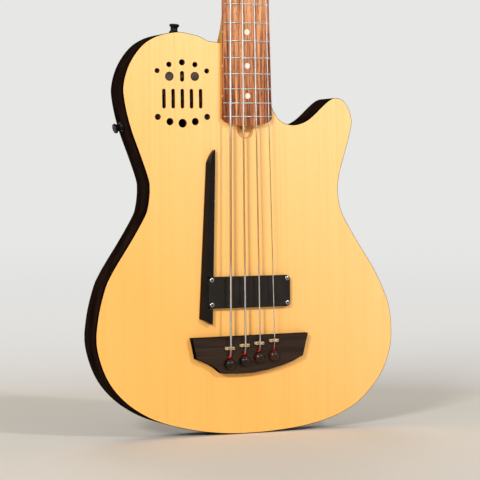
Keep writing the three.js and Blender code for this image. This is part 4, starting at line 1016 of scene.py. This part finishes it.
def makeFretTree():
    # frets at the places of equal temperament, as long as the board is wide and bent to its face
    sockets = {
        "Scale": "Float", "Count": "Int", "Nut Width": "Float", "End Width": "Float",
        "End Place": "Float", "Inset": "Float", "Camber": "Float", "Seat": "Vector",
        "Material": "Material",
    }
    tree = NodeTree("fret slots", sockets)
    given = tree.given.outputs
    count = tree.add("GeometryNodePoints", {0: given["Count"]})
    number = tree.math("ADD", tree.add("GeometryNodeInputIndex"), 1.0)
    share = tree.math("POWER", 2.0, tree.math("DIVIDE", number, -12.0))
    along = tree.math("MULTIPLY", given["Scale"], share)
    passed = tree.math("SUBTRACT", given["Scale"], along)
    whole = tree.math("SUBTRACT", given["Scale"], given["End Place"])
    reach = tree.math("DIVIDE", passed, whole)
    spread = tree.math("MULTIPLY", tree.math("SUBTRACT", given["End Width"], given["Nut Width"]), reach)
    width = tree.math("SUBTRACT", tree.math("ADD", given["Nut Width"], spread), given["Inset"])
    raised = tree.add("ShaderNodeCombineXYZ", {2: along})
    spot = tree.add("ShaderNodeVectorMath", {0: raised, 1: given["Seat"]}, operation="ADD")
    placed = tree.add("GeometryNodeSetPosition", {0: count, 2: spot})
    size = tree.add("ShaderNodeCombineXYZ", {0: width, 1: 1.0, 2: 1.0})
    copies = {"Points": placed, "Instance": given["Geometry"], "Scale": size}
    rows = tree.add("GeometryNodeInstanceOnPoints", copies)
    real = tree.add("GeometryNodeRealizeInstances", {0: rows})
    x = tree.add("ShaderNodeSeparateXYZ", {0: tree.add("GeometryNodeInputPosition")})
    middle = tree.add("ShaderNodeSeparateXYZ", {0: given["Seat"]})
    off = tree.math("SUBTRACT", x, middle)
    twice = tree.math("MULTIPLY", given["Camber"], 2.0)
    fall = tree.math("DIVIDE", tree.math("MULTIPLY", off, off), twice)
    drop = tree.add("ShaderNodeCombineXYZ", {1: fall})
    tree.close(tree.add("GeometryNodeSetPosition", {0: real, 3: drop}))
    return tree


def makeSetTree():
    # one small item at each point of the piece's own mesh
    tree = NodeTree("items on points", {"Item": "Object", "Size": "Float", "Material": "Material"})
    given = tree.given.outputs
    item = tree.add("GeometryNodeObjectInfo", {"Object": given["Item"]}, "Geometry")
    placed = {"Points": given["Geometry"], "Instance": item, "Scale": given["Size"]}
    tree.close(tree.add("GeometryNodeInstanceOnPoints", placed))
    return tree


fretTree = makeFretTree()
setTree = makeSetTree()


def setItems(name, item, places, finish):
    # copies of an item, one at each place
    holder = objectFrom(name, meshFrom(name, places, []))
    setTree.applied(holder, Item=item, Size=1.0, Material=finishes[finish])
    bpy.data.objects.remove(item)
    return holder


# Neck and fingerboard

def surfaceY(x):
    return -board["height"] + board["radius"] - math.sqrt(board["radius"] ** 2 - x * x)


def boardEnd(across):
    # how far down the board reaches at a share of its half width: two curves that meet on the centreline
    wide, narrow = board["endBulge"]
    low, high = 0.0, 1.0
    for _ in range(30):
        t = (low + high) / 2
        x = (1 - t) ** 3 + 3 * (1 - t) ** 2 * t * wide + 3 * (1 - t) * t * t * narrow
        low, high = (t, high) if x > abs(across) else (low, t)
    rise = board["cornerZ"] - board["endZ"]
    dip = 3 * (1 - t) ** 2 * t * board["endDip"] * boardHalfWidth(board["cornerZ"])
    return board["endZ"] + (1 - t) ** 3 * rise + dip


def makeFingerboard():
    columns, rows, corner = board["columns"], board["rows"], board["cornerZ"]
    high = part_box("fingerboard")[1]
    rise = (high.z - bridgeZ) / mm - corner
    # the outermost columns crowd towards the edges, where the end curves most
    shares = [math.sin(math.pi / 2 * (2 * i / columns - 1)) for i in range(columns + 1)]
    levels = [None] * (board["endRows"] + 1)
    levels += [corner + rise * (i + 1) / rows for i in range(rows)]
    front, back = [], []
    for row, level in enumerate(levels):
        for share in shares:
            if level is None:
                mix = row / board["endRows"]
                z = boardEnd(share) * (1 - mix) + corner * mix
                x = share * boardHalfWidth(corner)
            else:
                z, x = level, share * boardHalfWidth(level)
            spot = place(x, surfaceY(x), z)
            front.append(spot)
            back.append(Vector((spot.x, high.y, spot.z)))
    wide, tall = columns + 1, len(levels)
    faces, total = [], len(front)
    for r in range(tall - 1):
        for c in range(columns):
            a, b = r * wide + c, r * wide + c + 1
            d, e = b + wide, a + wide
            faces += [(a, b, d, e), (a + total, e + total, d + total, b + total)]
    rim = list(range(wide)) + [r * wide + columns for r in range(1, tall)]
    rim += [(tall - 1) * wide + c for c in range(columns - 1, -1, -1)]
    rim += [r * wide for r in range(tall - 2, 0, -1)]
    faces += [(a, a + total, b + total, b) for a, b in zip(rim, rim[1:] + rim[:1])]
    blank = objectFrom("rosewood_board", closedMesh("board", front + back, faces))
    bevelled(blank, board["edge"] * mm, 3, 50)
    finished(blank, "instrument", "rosewood", "fingerboard", finish="rosewood", degrees=40)


def oneFret():
    # a straight fret one metre wide, crowned, with its ends sloped
    half, crown = board["fretWidth"] / 2 * mm, board["fretCrown"] * mm
    foot, flat, parts = board["fretFoot"] * mm, board["fretFlat"], 12
    turns = (-1.571, -1.1, -0.65, -0.2, 0.2, 0.65, 1.1, 1.571)
    arch = [(half * math.sin(turn), -crown * (0.18 + 0.82 * math.cos(turn))) for turn in turns]
    section = [(-half, foot)] + arch + [(half, foot)]
    stations = [(-0.5, 0.0), (-flat / 2, 1.0)]
    stations += [(-flat / 2 + flat * i / parts, 1.0) for i in range(1, parts)]
    stations += [(flat / 2, 1.0), (0.5, 0.0)]
    points, count = [], len(section)
    for x, full in stations:
        points += [(x, min(y, 0.0) * full + max(y, 0.0), z) for z, y in section]
    faces = bandFaces(len(stations), count)
    faces += [tuple(range(count)), tuple(range(len(points) - count, len(points)))]
    return objectFrom("frets", closedMesh("frets", points, faces))


def makeFrets():
    frets = oneFret()
    seat = place(0, -board["height"], 0)
    fretTree.applied(
        frets, Scale=scaleLength * mm, Count=board["frets"], Nut_Width=board["nutWidth"] * mm,
        End_Width=board["endWidth"] * mm, End_Place=board["endZ"] * mm, Inset=board["fretInset"] * mm,
        Camber=board["radius"] * mm, Seat=tuple(seat), Material=finishes["fretSilver"],
    )
    finished(frets, "instrument", "steel", degrees=40)


def discMesh(radius, rise, segments, axis="Y"):
    # a thin slightly domed disc, let in by its foot
    foot = 0.3 * mm
    profile = [(0, foot), (radius, foot), (radius, 0), (radius * 0.93, -rise), (0, -rise * 1.3)]
    return turnedMesh(profile, segments, axis=axis)


def fretSpace(number):
    # the middle between two frets
    return scaleLength * (2 ** (-number / 12) + 2 ** (-(number - 1) / 12)) / 2


def makeDots():
    spots = [(0, fretSpace(n)) for n in board["dotFrets"]]
    spots += [(side * board["doubleSpread"], fretSpace(12)) for side in (-1, 1)]
    places = [place(x, surfaceY(x) - 0.02, z) for x, z in spots]
    rise = board["dotRise"] * mm
    item = objectFrom("dot", discMesh(board["dotRadius"] * mm, rise, 28))
    finished(setItems("pearl_dots", item, places, "pearl"), "instrument", "bone", degrees=40)
    heights = [fretSpace(n) for n in board["dotFrets"]]
    heights += [fretSpace(12) + side * board["sideDotSpread"] for side in (-1, 1)]
    edge = [place(-boardHalfWidth(z) - 0.02, -board["sideDotY"], z) for z in heights]
    item = objectFrom("side_dot", discMesh(board["sideDotRadius"] * mm, rise, 18, "X"))
    finished(setItems("side_dots", item, edge, "bone"), "instrument", "bone", degrees=40)


def makeNeck():
    # the block's foot is out of sight below the soundboard, which closes up to the fingerboard's corners
    neck = copyOf("neck", "maple_neck")
    reach = board["endWidth"]
    low, high = place(-reach, -0.35, board["endZ"] - 9), place(reach, 30, body["heelFoot"])
    cutBy(neck, [boxMesh(low, high)])
    finished(neck, "instrument", "maple", "neck", finish="maple", degrees=42)


makeFingerboard()
makeFrets()
makeDots()
makeNeck()
showCopy("nut", "bone", "bone", 0.25, corner=50)
showCopy("truss_rod_nut", "brass", "brass", 0.2, body="truss_rod_nut")
print("neck ready")

# Strings

wires = {
    "radii": (1.27, 1.02, 0.83, 0.57),
    "nutPitch": 9.4,
    "bridgePitch": 17.2,
    "bridgeTop": 9.0,
    "wellDepth": 10.0,
    "wellReach": 2.9,
    "bend": (4.2, 8.4),  # where the string turns from its well into the slot, and where it leaves it
    "rise": 2.6,
    "saddleSetback": (6.5, 3.9, 2.2, -0.1),
    "saddleHeight": 12.8,
    "saddleLength": 3.0,
    "overBoard": 1.5,
    "pastNut": 5.3,
    "firstTurn": 2.8,
    "pinSetback": (23.3, 20.4, 17.7, 16.2),
    "pinHead": 5.8,
    "turns": 2.25,
    "turnGap": 0.5,
    "turnSteps": 30,
    "waist": 5.0,
    "tunerRows": (0.2674, 0.6163),
    "tunerSpread": (0.6456, 0.5696),
    "headTilt": 10.0,
    "headStart": 868.6,
    "headLength": 172.0,
    "headWidth": 79.0,
    "sides": 16,
    "cornerReach": 1.6,
    "shown": 0.93,  # the radius that is shown, as a share of the solid's
    "silkRadius": 0.08,
    "silkLength": 2.4,
}


def onHead(x, y, z):
    tilt = math.radians(wires["headTilt"])
    up = z * math.cos(tilt) - y * math.sin(tilt)
    return place(x, y * math.cos(tilt) + z * math.sin(tilt), wires["headStart"] + up)


def tunerPlace(index):
    side = -1 if index < 2 else 1
    row = 0 if index in (0, 3) else 1
    x = side * wires["tunerSpread"][row] * wires["headWidth"] / 2
    return side, x, wires["tunerRows"][row] * wires["headLength"]


def rounded(path, reach):
    # each corner of a path becomes a short curve
    out = [path[0]]
    for before, corner, after in zip(path, path[1:], path[2:]):
        first = min(reach, (before - corner).length * 0.45)
        second = min(reach, (after - corner).length * 0.45)
        start = corner + (before - corner).normalized() * first
        end = corner + (after - corner).normalized() * second
        for step in range(6):
            t = step / 5
            out.append(start * (1 - t) ** 2 + corner * 2 * t * (1 - t) + end * t * t)
    out.append(path[-1])
    return out


def stringPath(index):
    # from beside the pin, over the saddle and the nut, then round the post
    r, across, gap = wires["radii"][index], index - 1.5, body["gap"]
    nutX, bridgeX = across * wires["nutPitch"], across * wires["bridgePitch"]
    pinZ, saddleZ = -wires["pinSetback"][index], -wires["saddleSetback"][index]
    wellZ, slotZ = pinZ + wires["wellReach"] + r, pinZ + wires["pinHead"] + gap + r
    saddleY, half = -wires["saddleHeight"] - r, wires["saddleLength"] / 2 + gap
    nutY = surfaceY(nutX) - wires["overBoard"] - r
    straight = [
        place(bridgeX, wires["wellDepth"], wellZ),
        place(bridgeX, -wires["bend"][0], wellZ),
        place(bridgeX, -wires["bend"][1], slotZ),
        place(bridgeX, -wires["bridgeTop"] - wires["rise"], slotZ),
        place(bridgeX, saddleY, saddleZ - half),
        place(bridgeX, saddleY, saddleZ + half),
        place(nutX, nutY, scaleLength),
        place(nutX, nutY, scaleLength + wires["pastNut"]),
    ]
    side, tunerX, tunerZ = tunerPlace(index)
    reach, pitch = wires["waist"] + r, 2 * r + wires["turnGap"]
    winding = []
    for step in range(int(wires["turns"] * wires["turnSteps"]) + 1):
        turn = 2 * math.pi * step / wires["turnSteps"]
        depth = -(wires["firstTurn"] + r) - pitch * turn / (2 * math.pi)
        x, z = tunerX - side * reach * math.cos(turn), tunerZ + reach * math.sin(turn)
        winding.append(onHead(x, depth, z))
    return straight, winding


def makeStrings():
    for index, name in enumerate(stringNames):
        straight, winding = stringPath(index)
        corner = wires["cornerReach"] * mm
        path = rounded(straight, corner) + winding
        r = wires["radii"][index] * wires["shown"] * mm
        wire = tubeMesh(path, r, wires["sides"])
        piece = objectFrom("wound_string_" + name, wire, finishes["wound_" + name])
        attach(piece, "instrument")
        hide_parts("string_" + name)
        rest, saddle = straight[3], straight[4]
        over = rest + (saddle - rest).normalized() * wires["silkLength"] * mm
        wrapped = rounded([straight[1], straight[2], rest, over], corner)
        thread = tubeMesh(wrapped, r + wires["silkRadius"] * mm, 14)
        silk = objectFrom("silk_" + name, thread, finishes["silk"])
        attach(silk, "instrument")


makeStrings()
print("strings ready")

# Bridge, saddles and pins

bridge = {
    "frontY": 9.0,
    "pinRadius": 6.1,
    "pinHeight": 6.8,
    "pinCollar": 1.5,
    "shaft": 2.5,
    "tip": 2.1,
    "tipDepth": 4.0,
    "capRadius": 1.3,
    "capRise": 0.06,
    "pitRadius": 0.55,
    "pitRise": 0.12,
    "pitSpread": 3.25,
    "saddleEdge": 0.45,
    "edge": 0.3,
}


def makePins():
    seat, radius = -bridge["frontY"] - body["gap"], bridge["pinRadius"]
    tip, shaft, foot, collar = bridge["tip"], bridge["shaft"], bridge["tipDepth"], bridge["pinCollar"]
    profile = [(0, foot), (tip * 0.6, foot - 0.3), (tip, foot - 1.2), (shaft, seat + 0.4), (shaft, seat)]
    profile += [(radius - 0.7, seat), (radius - 0.15, seat - 0.3)]
    for turn in quarterTurn(14):
        rise = collar + (bridge["pinHeight"] - collar) * math.sin(turn)
        profile.append((radius * math.cos(turn), seat - rise))
    profile[-1] = (0, profile[-1][1])
    profile = [(r * mm, y * mm) for r, y in profile]
    for index, name in enumerate(stringNames):
        x, z = (index - 1.5) * wires["bridgePitch"], -wires["pinSetback"][index]
        pin = objectFrom("pin_" + name, turnedMesh(profile, 40, place(x, 0, z)))
        node = "bridge_pin_" + name
        finished(pin, "instrument", "black_gloss", node, finish="pinWood", degrees=40)


def makeSaddles():
    pits = []
    for name in stringNames:
        node = "saddle_" + name
        showCopy(node, "bone", "saddleBone", bridge["saddleEdge"], 3, corner=30)
        low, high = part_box(node)
        for side in (-1, 1):
            middle = (low.x + high.x) / 2 + side * bridge["pitSpread"] * mm
            pits.append(Vector((middle, low.y, (low.z + high.z) / 2)))
    item = objectFrom("cap", discMesh(bridge["capRadius"] * mm, bridge["capRise"] * mm, 20))
    finished(setItems("saddle_caps", item, pits, "saddleScrew"), "instrument", "brass")
    # black discs in the middle of the caps: painted shade in their screw holes
    item = objectFrom("pit", discMesh(bridge["pitRadius"] * mm, bridge["pitRise"] * mm, 16))
    finished(setItems("saddle_pits", item, pits, "blackSatin"), "instrument", "bone")


rail = {
    "join": 192.4,
    "front": -7.0,
    "tip": -6.2,
    "back": -0.3,
    "edge": 0.35,
    "lean": 2.7,
    "straight": ((-38.44, 186.0), (-38.25, 192.5), (-37.82, 206.86)),
    "curve": (
        (-38.38, 206.86), (-39.45, 205.67), (-40.96, 203.8), (-42.33, 201.87), (-43.55, 199.9),
        (-44.63, 197.87), (-45.56, 195.8), (-46.35, 193.67), (-46.85, 192.01), (-46.94, 186.0),
    ),
}


def railTip():
    # the last of the rail: the outer side curves over to the straight one and the face falls a little
    loop, top = rail["straight"] + rail["curve"], []
    join, front = rail["join"], rail["front"]
    for i, (x, z) in enumerate(loop):
        share = max(0.0, (z - join) / (rail["straight"][2][1] - join))
        lean = rail["lean"] * (1 - share) if i >= len(rail["straight"]) else 0
        top.append(place(x + lean, front + (rail["tip"] - front) * share, z))
    foot = [place(x, rail["back"], z) for x, z in loop]
    return objectFrom("rail_tip", stackedMesh("rail_tip", [foot, top]))


def makeThumbRest():
    # the CAD form up to the join, and the finer tip past it
    bar, tip = copyOf("thumb_rest", "rail_bar"), railTip()
    low, high = place(-80, -20, rail["join"]), place(0, 20, rail["join"])
    for piece, reach in ((bar, 0.1), (tip, -0.1)):
        bevelled(piece, rail["edge"] * mm, 3, 25)
        near, far = sorted((low.z, low.z + reach))
        cutBy(piece, [boxMesh((low.x, low.y, near), (high.x, high.y, far))])
    whole = joined("thumb_rest_rail", [bar.data, tip.data])
    for piece in (bar, tip):
        bpy.data.objects.remove(piece)
    finished(whole, "instrument", "black_gloss", "thumb_rest", finish="blackGloss")


def makeBridge():
    # brown wood on its face, and painted shade on its sides: the side faces take a black finish
    plank = showCopy("bridge", "ebony", "bridgeWood", bridge["edge"], corner=50)
    plank.data.materials.append(finishes["bindingBlack"])
    paintFaces(plank.data, 1, lambda face: abs(face.normal.y) < 0.5)


makePins()
makeSaddles()
makeBridge()
makeThumbRest()
print("bridge ready")

# Screws

screw = {"radius": 2.55, "rise": 1.2, "foot": 0.4, "crossLength": 2.7, "crossWidth": 0.9}


def crossMeshes(centre, length, width, frontY, backY):
    # two bars across each other, to cut or fill a cross recess
    bars = []
    for halfX, halfZ in ((length / 2, width / 2), (width / 2, length / 2)):
        low = (centre.x - halfX, frontY, centre.z - halfZ)
        bars.append(boxMesh(low, (centre.x + halfX, backY, centre.z + halfZ)))
    return bars


def screwItem(name, radius, rise):
    # a domed head with a cross recess, its seat at the origin and its face towards -y
    foot = screw["foot"] * mm
    profile = [(0, foot), (radius, foot), (radius, -rise * 0.25)]
    for turn in quarterTurn(5)[1:]:
        profile.append((radius * math.cos(turn), -rise * (0.25 + 0.75 * math.sin(turn))))
    profile[-1] = (0, -rise)
    head = objectFrom(name, turnedMesh(profile, 24))
    length, width = radius * 1.05, radius * 0.26
    return cutBy(head, crossMeshes(Vector((0, 0, 0)), length, width, -rise * 2, -rise * 0.35))


# Pickup

pickup = {"screwsTop": 67.2, "screwsLow": 40.5, "screwsLeft": -43.8, "screwsRight": 44.7, "edge": 0.5}


def makePickup():
    showCopy("pickup", "black_satin", "blackSatin", pickup["edge"], 3, corner=50)
    frontY = (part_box("pickup")[0].y - faceY) / mm
    rows = (pickup["screwsTop"], pickup["screwsLow"])
    item = screwItem("pickup_screw", screw["radius"] * mm, screw["rise"] * mm)
    places = [place(x, frontY, z) for x in (pickup["screwsLeft"], pickup["screwsRight"]) for z in rows]
    finished(setItems("pickup_screws", item, places, "screwSteel"), "instrument", "chrome", degrees=30)
    # a black cross in each screw's recess: painted shade
    length, top = screw["crossLength"] * mm, -screw["rise"] * mm
    cross = crossMeshes(Vector((0, 0, 0)), length, screw["crossWidth"] * mm, top * 1.01, top * 0.5)
    item = joined("screw_cross", cross)
    finished(setItems("pickup_screw_crosses", item, places, "blackSatin"), "instrument", "chrome")


makePickup()
print("pickup ready")

# Controls in the top

controls = {
    "buttonEdge": 0.6,
    "tabEdge": 0.3,
    "clothFront": 4.53,
    "clothBack": 4.77,
    "clothWidth": 15.0,
}


def makeControls():
    tabs = {"slider_%d" % n: "sliderBlack" for n in range(1, 6)}
    tabs["mode_switch"] = "switchGrey"
    for node, finish in tabs.items():
        showCopy(node, "grey_plastic", finish, controls["tabEdge"], body=node, corner=50)
    for side in ("left", "right"):
        node = "button_" + side
        cap = showCopy(node, "grey_plastic", "buttonGrey", controls["buttonEdge"], 3, body=node, corner=60)
        cap.data.materials.append(finishes["sliderBlack"])
        # painted shade: the rim of the cap is darker than its face, where it stands in the shade of its
        # hole
        paintFaces(cap.data, 1, lambda face: face.normal.y > -0.96)


def arcStrip(radius, height, halfTurn, width):
    # a curved strip behind one row of sound holes
    loop, steps = [], 24
    for sign, offset in ((1, width / 2), (-1, -width / 2)):
        for i in range(steps + 1):
            turn = halfTurn * (2 * i / steps - 1) * sign
            reach = radius + offset
            z = rosetteZ + height - math.copysign(radius - reach * math.cos(turn), height)
            loop.append(onFace(rosette["x"] + reach * math.sin(turn), z))
    return loop


def makeHoleCloth():
    strips, width = [], controls["clothWidth"]
    frontY, backY = levelY(controls["clothFront"]), levelY(controls["clothBack"])
    for radius, height, step, diameters in (rosette["upper"], rosette["lower"]):
        halfTurn = math.radians(step * (len(diameters) - 1)) + width / 2 / radius
        strips.append(prismMesh(arcStrip(radius, height, halfTurn, width), frontY, backY))
    cloth = joined("hole_cloth", strips)
    finished(cloth, "instrument", "black_satin", finish="cloth")


makeControls()
makeHoleCloth()
print("controls ready")

# Tuners and the rest of the fittings

def makeTuners():
    for name in stringNames:
        post, key = "tuner_post_" + name, "tuner_key_" + name
        showCopy("tuner_bushing_" + name, "chrome", "chrome", 0.25, corner=50, degrees=40)
        showCopy(post, "chrome", "chrome", 0.25, body=post, corner=50, degrees=40)
        showCopy("tuner_gearbox_" + name, "chrome", "chrome", 0.4, 3, corner=50)
        showCopy(key, "chrome", "chrome", 0.5, 3, body=key, corner=40, degrees=50)


def makeBolts():
    for number in range(1, 5):
        node = "neck_bolt_%d" % number
        low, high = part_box(node)
        bolt = copyOf(node, node + "_form")
        radius = (high.x - low.x) / 2
        front, back = high.y - 1.6 * mm, high.y + 1 * mm
        cutBy(bolt, crossMeshes((low + high) / 2, radius * 1.1, radius * 0.28, front, back))
        finished(bolt, "instrument", "chrome", node, finish="chrome", degrees=40)


makeTuners()
makeBolts()
for side in ("top", "side"):
    showCopy("strap_button_" + side, "black_gloss", "strapBlack", 0.3, corner=60, degrees=45)
showCopy("output_jack", "chrome", "chrome", 0.3, corner=50)
showCopy("battery_door", "black_satin", "blackSatin", 0.3, body="battery_door", corner=50)
# what is out of sight keeps its CAD mesh
plain = {
    "preamp": "blackSatin",
    "battery_box": "blackSatin",
    "truss_rod": "plainSteel",
    "battery": "greyPlastic",
}
for node, finish in plain.items():
    dressed(nodes[node], finish)
print("fittings ready")

# Camera, light and floor

view = {
    "position": (-932.459, -2190.532, 169.781),
    "focalPixels": 2201.9,
    "turn": -22.885,
    "fall": 1.456,
    "roll": -0.713,
    "framePixels": 480,
}


def makeCamera():
    camera = bpy.data.cameras.new("camera")
    camera.sensor_fit = "HORIZONTAL"
    camera.sensor_width = 36.0
    camera.lens = view["focalPixels"] / view["framePixels"] * camera.sensor_width
    camera.clip_end = 50
    stand = objectFrom("camera", camera)
    turned = Matrix.Rotation(math.radians(view["turn"]), 4, "Z")
    tilted = Matrix.Rotation(math.radians(90 - view["fall"]), 4, "X")
    rolled = Matrix.Rotation(math.radians(view["roll"]), 4, "Z")
    stand.matrix_world = Matrix.Translation(place(*view["position"])) @ turned @ tilted @ rolled
    scene.camera = stand


lamps = {
    "key": {"at": (-2.5, -2.84, 1.63), "size": 0.7, "power": 90},
    "right": {"at": (1.45, -3.4, 2.0), "size": 0.35, "power": 56},
    "back": {"at": (0.6, 2.2, 2.0), "size": 1.2, "power": 16},
}
studio = {
    "aim": (0, 0, 0.35),
    "lampColour": (1.0, 0.94, 0.87),
    "behind": (0.80, 0.80, 0.79, 1),
    "fill": 0.31,
    "fillColour": (1.0, 0.87, 0.70, 1),
    "floorDark": (0.76, 0.76, 0.75, 1),
    "floorRadius": 12,
    "floorSides": 64,
    "floorDrop": 0.0004,
    "nearFloor": 0.5,
}


def makeLamp(name, at, size, power):
    light = bpy.data.lights.new(name, "AREA")
    light.shape = "SQUARE"
    light.size = size
    light.energy = power
    light.color = studio["lampColour"]
    lamp = objectFrom(name, light)
    lamp.location = at
    sight = Vector(studio["aim"]) - Vector(at)
    lamp.rotation_euler = sight.to_track_quat("-Z", "Y").to_euler()


def seenRays(tree):
    # 1 for the rays that see the background: the camera's, and those off metal and through glass
    rays = addNode(tree, "ShaderNodeLightPath").outputs
    seen = rays["Is Camera Ray"]
    for kind in ("Is Glossy Ray", "Is Transmission Ray"):
        seen = addNode(tree, "ShaderNodeMath", {0: seen, 1: rays[kind]}, operation="MAXIMUM").outputs[0]
    return seen


def mixShaders(tree, factor, one, two, out):
    mixed = addNode(tree, "ShaderNodeMixShader", {0: factor, 1: one, 2: two})
    tree.links.new(mixed.outputs[0], out)


def makeWorld():
    world = bpy.data.worlds.new("studio")
    scene.world = world
    world.use_nodes = True
    tree = world.node_tree
    tree.nodes.clear()
    seen = addNode(tree, "ShaderNodeBackground", {"Color": studio["behind"]})
    values = {"Color": studio["fillColour"], "Strength": studio["fill"]}
    fill = addNode(tree, "ShaderNodeBackground", values)
    out = addNode(tree, "ShaderNodeOutputWorld")
    mixShaders(tree, seenRays(tree), fill.outputs[0], seen.outputs[0], out.inputs[0])


def makeFloor():
    # past the object's shadow the floor fades into the colour behind it
    radius, sides = studio["floorRadius"], studio["floorSides"]
    drop = -studio["floorDrop"]
    points = [(radius * math.cos(turn), radius * math.sin(turn), drop) for turn in fullTurn(sides)]
    mesh = meshFrom("floor", points, [tuple(range(sides))])
    pale = Finish("pale floor", Roughness=0.7, Specular_IOR_Level=0.2)
    cloud = pale.noise(pale.placed((3, 3, 3)), 1, 4)
    stops = [(0.3, studio["floorDark"]), (0.7, studio["behind"])]
    pale.paint("Base Color", pale.ramp(cloud, stops))
    away = pale.node("VectorMath", {0: pale.coordinates.outputs["Object"]}, operation="LENGTH")
    nearness = pale.sum("DIVIDE", studio["nearFloor"], away.outputs["Value"])
    far = pale.grey(nearness, 0, 1, 1.0, 0.06)
    glow = pale.node("Emission", {"Color": studio["behind"]})
    factor = pale.sum("MULTIPLY", far, seenRays(pale.tree))
    out = pale.tree.nodes["Material Output"].inputs["Surface"]
    mixShaders(pale.tree, factor, pale.shader.outputs[0], glow.outputs[0], out)
    objectFrom("floor", mesh, pale.material)


makeCamera()
for name, lamp in lamps.items():
    makeLamp(name, **lamp)
makeWorld()
makeFloor()
scene.view_settings.view_transform = "Standard"
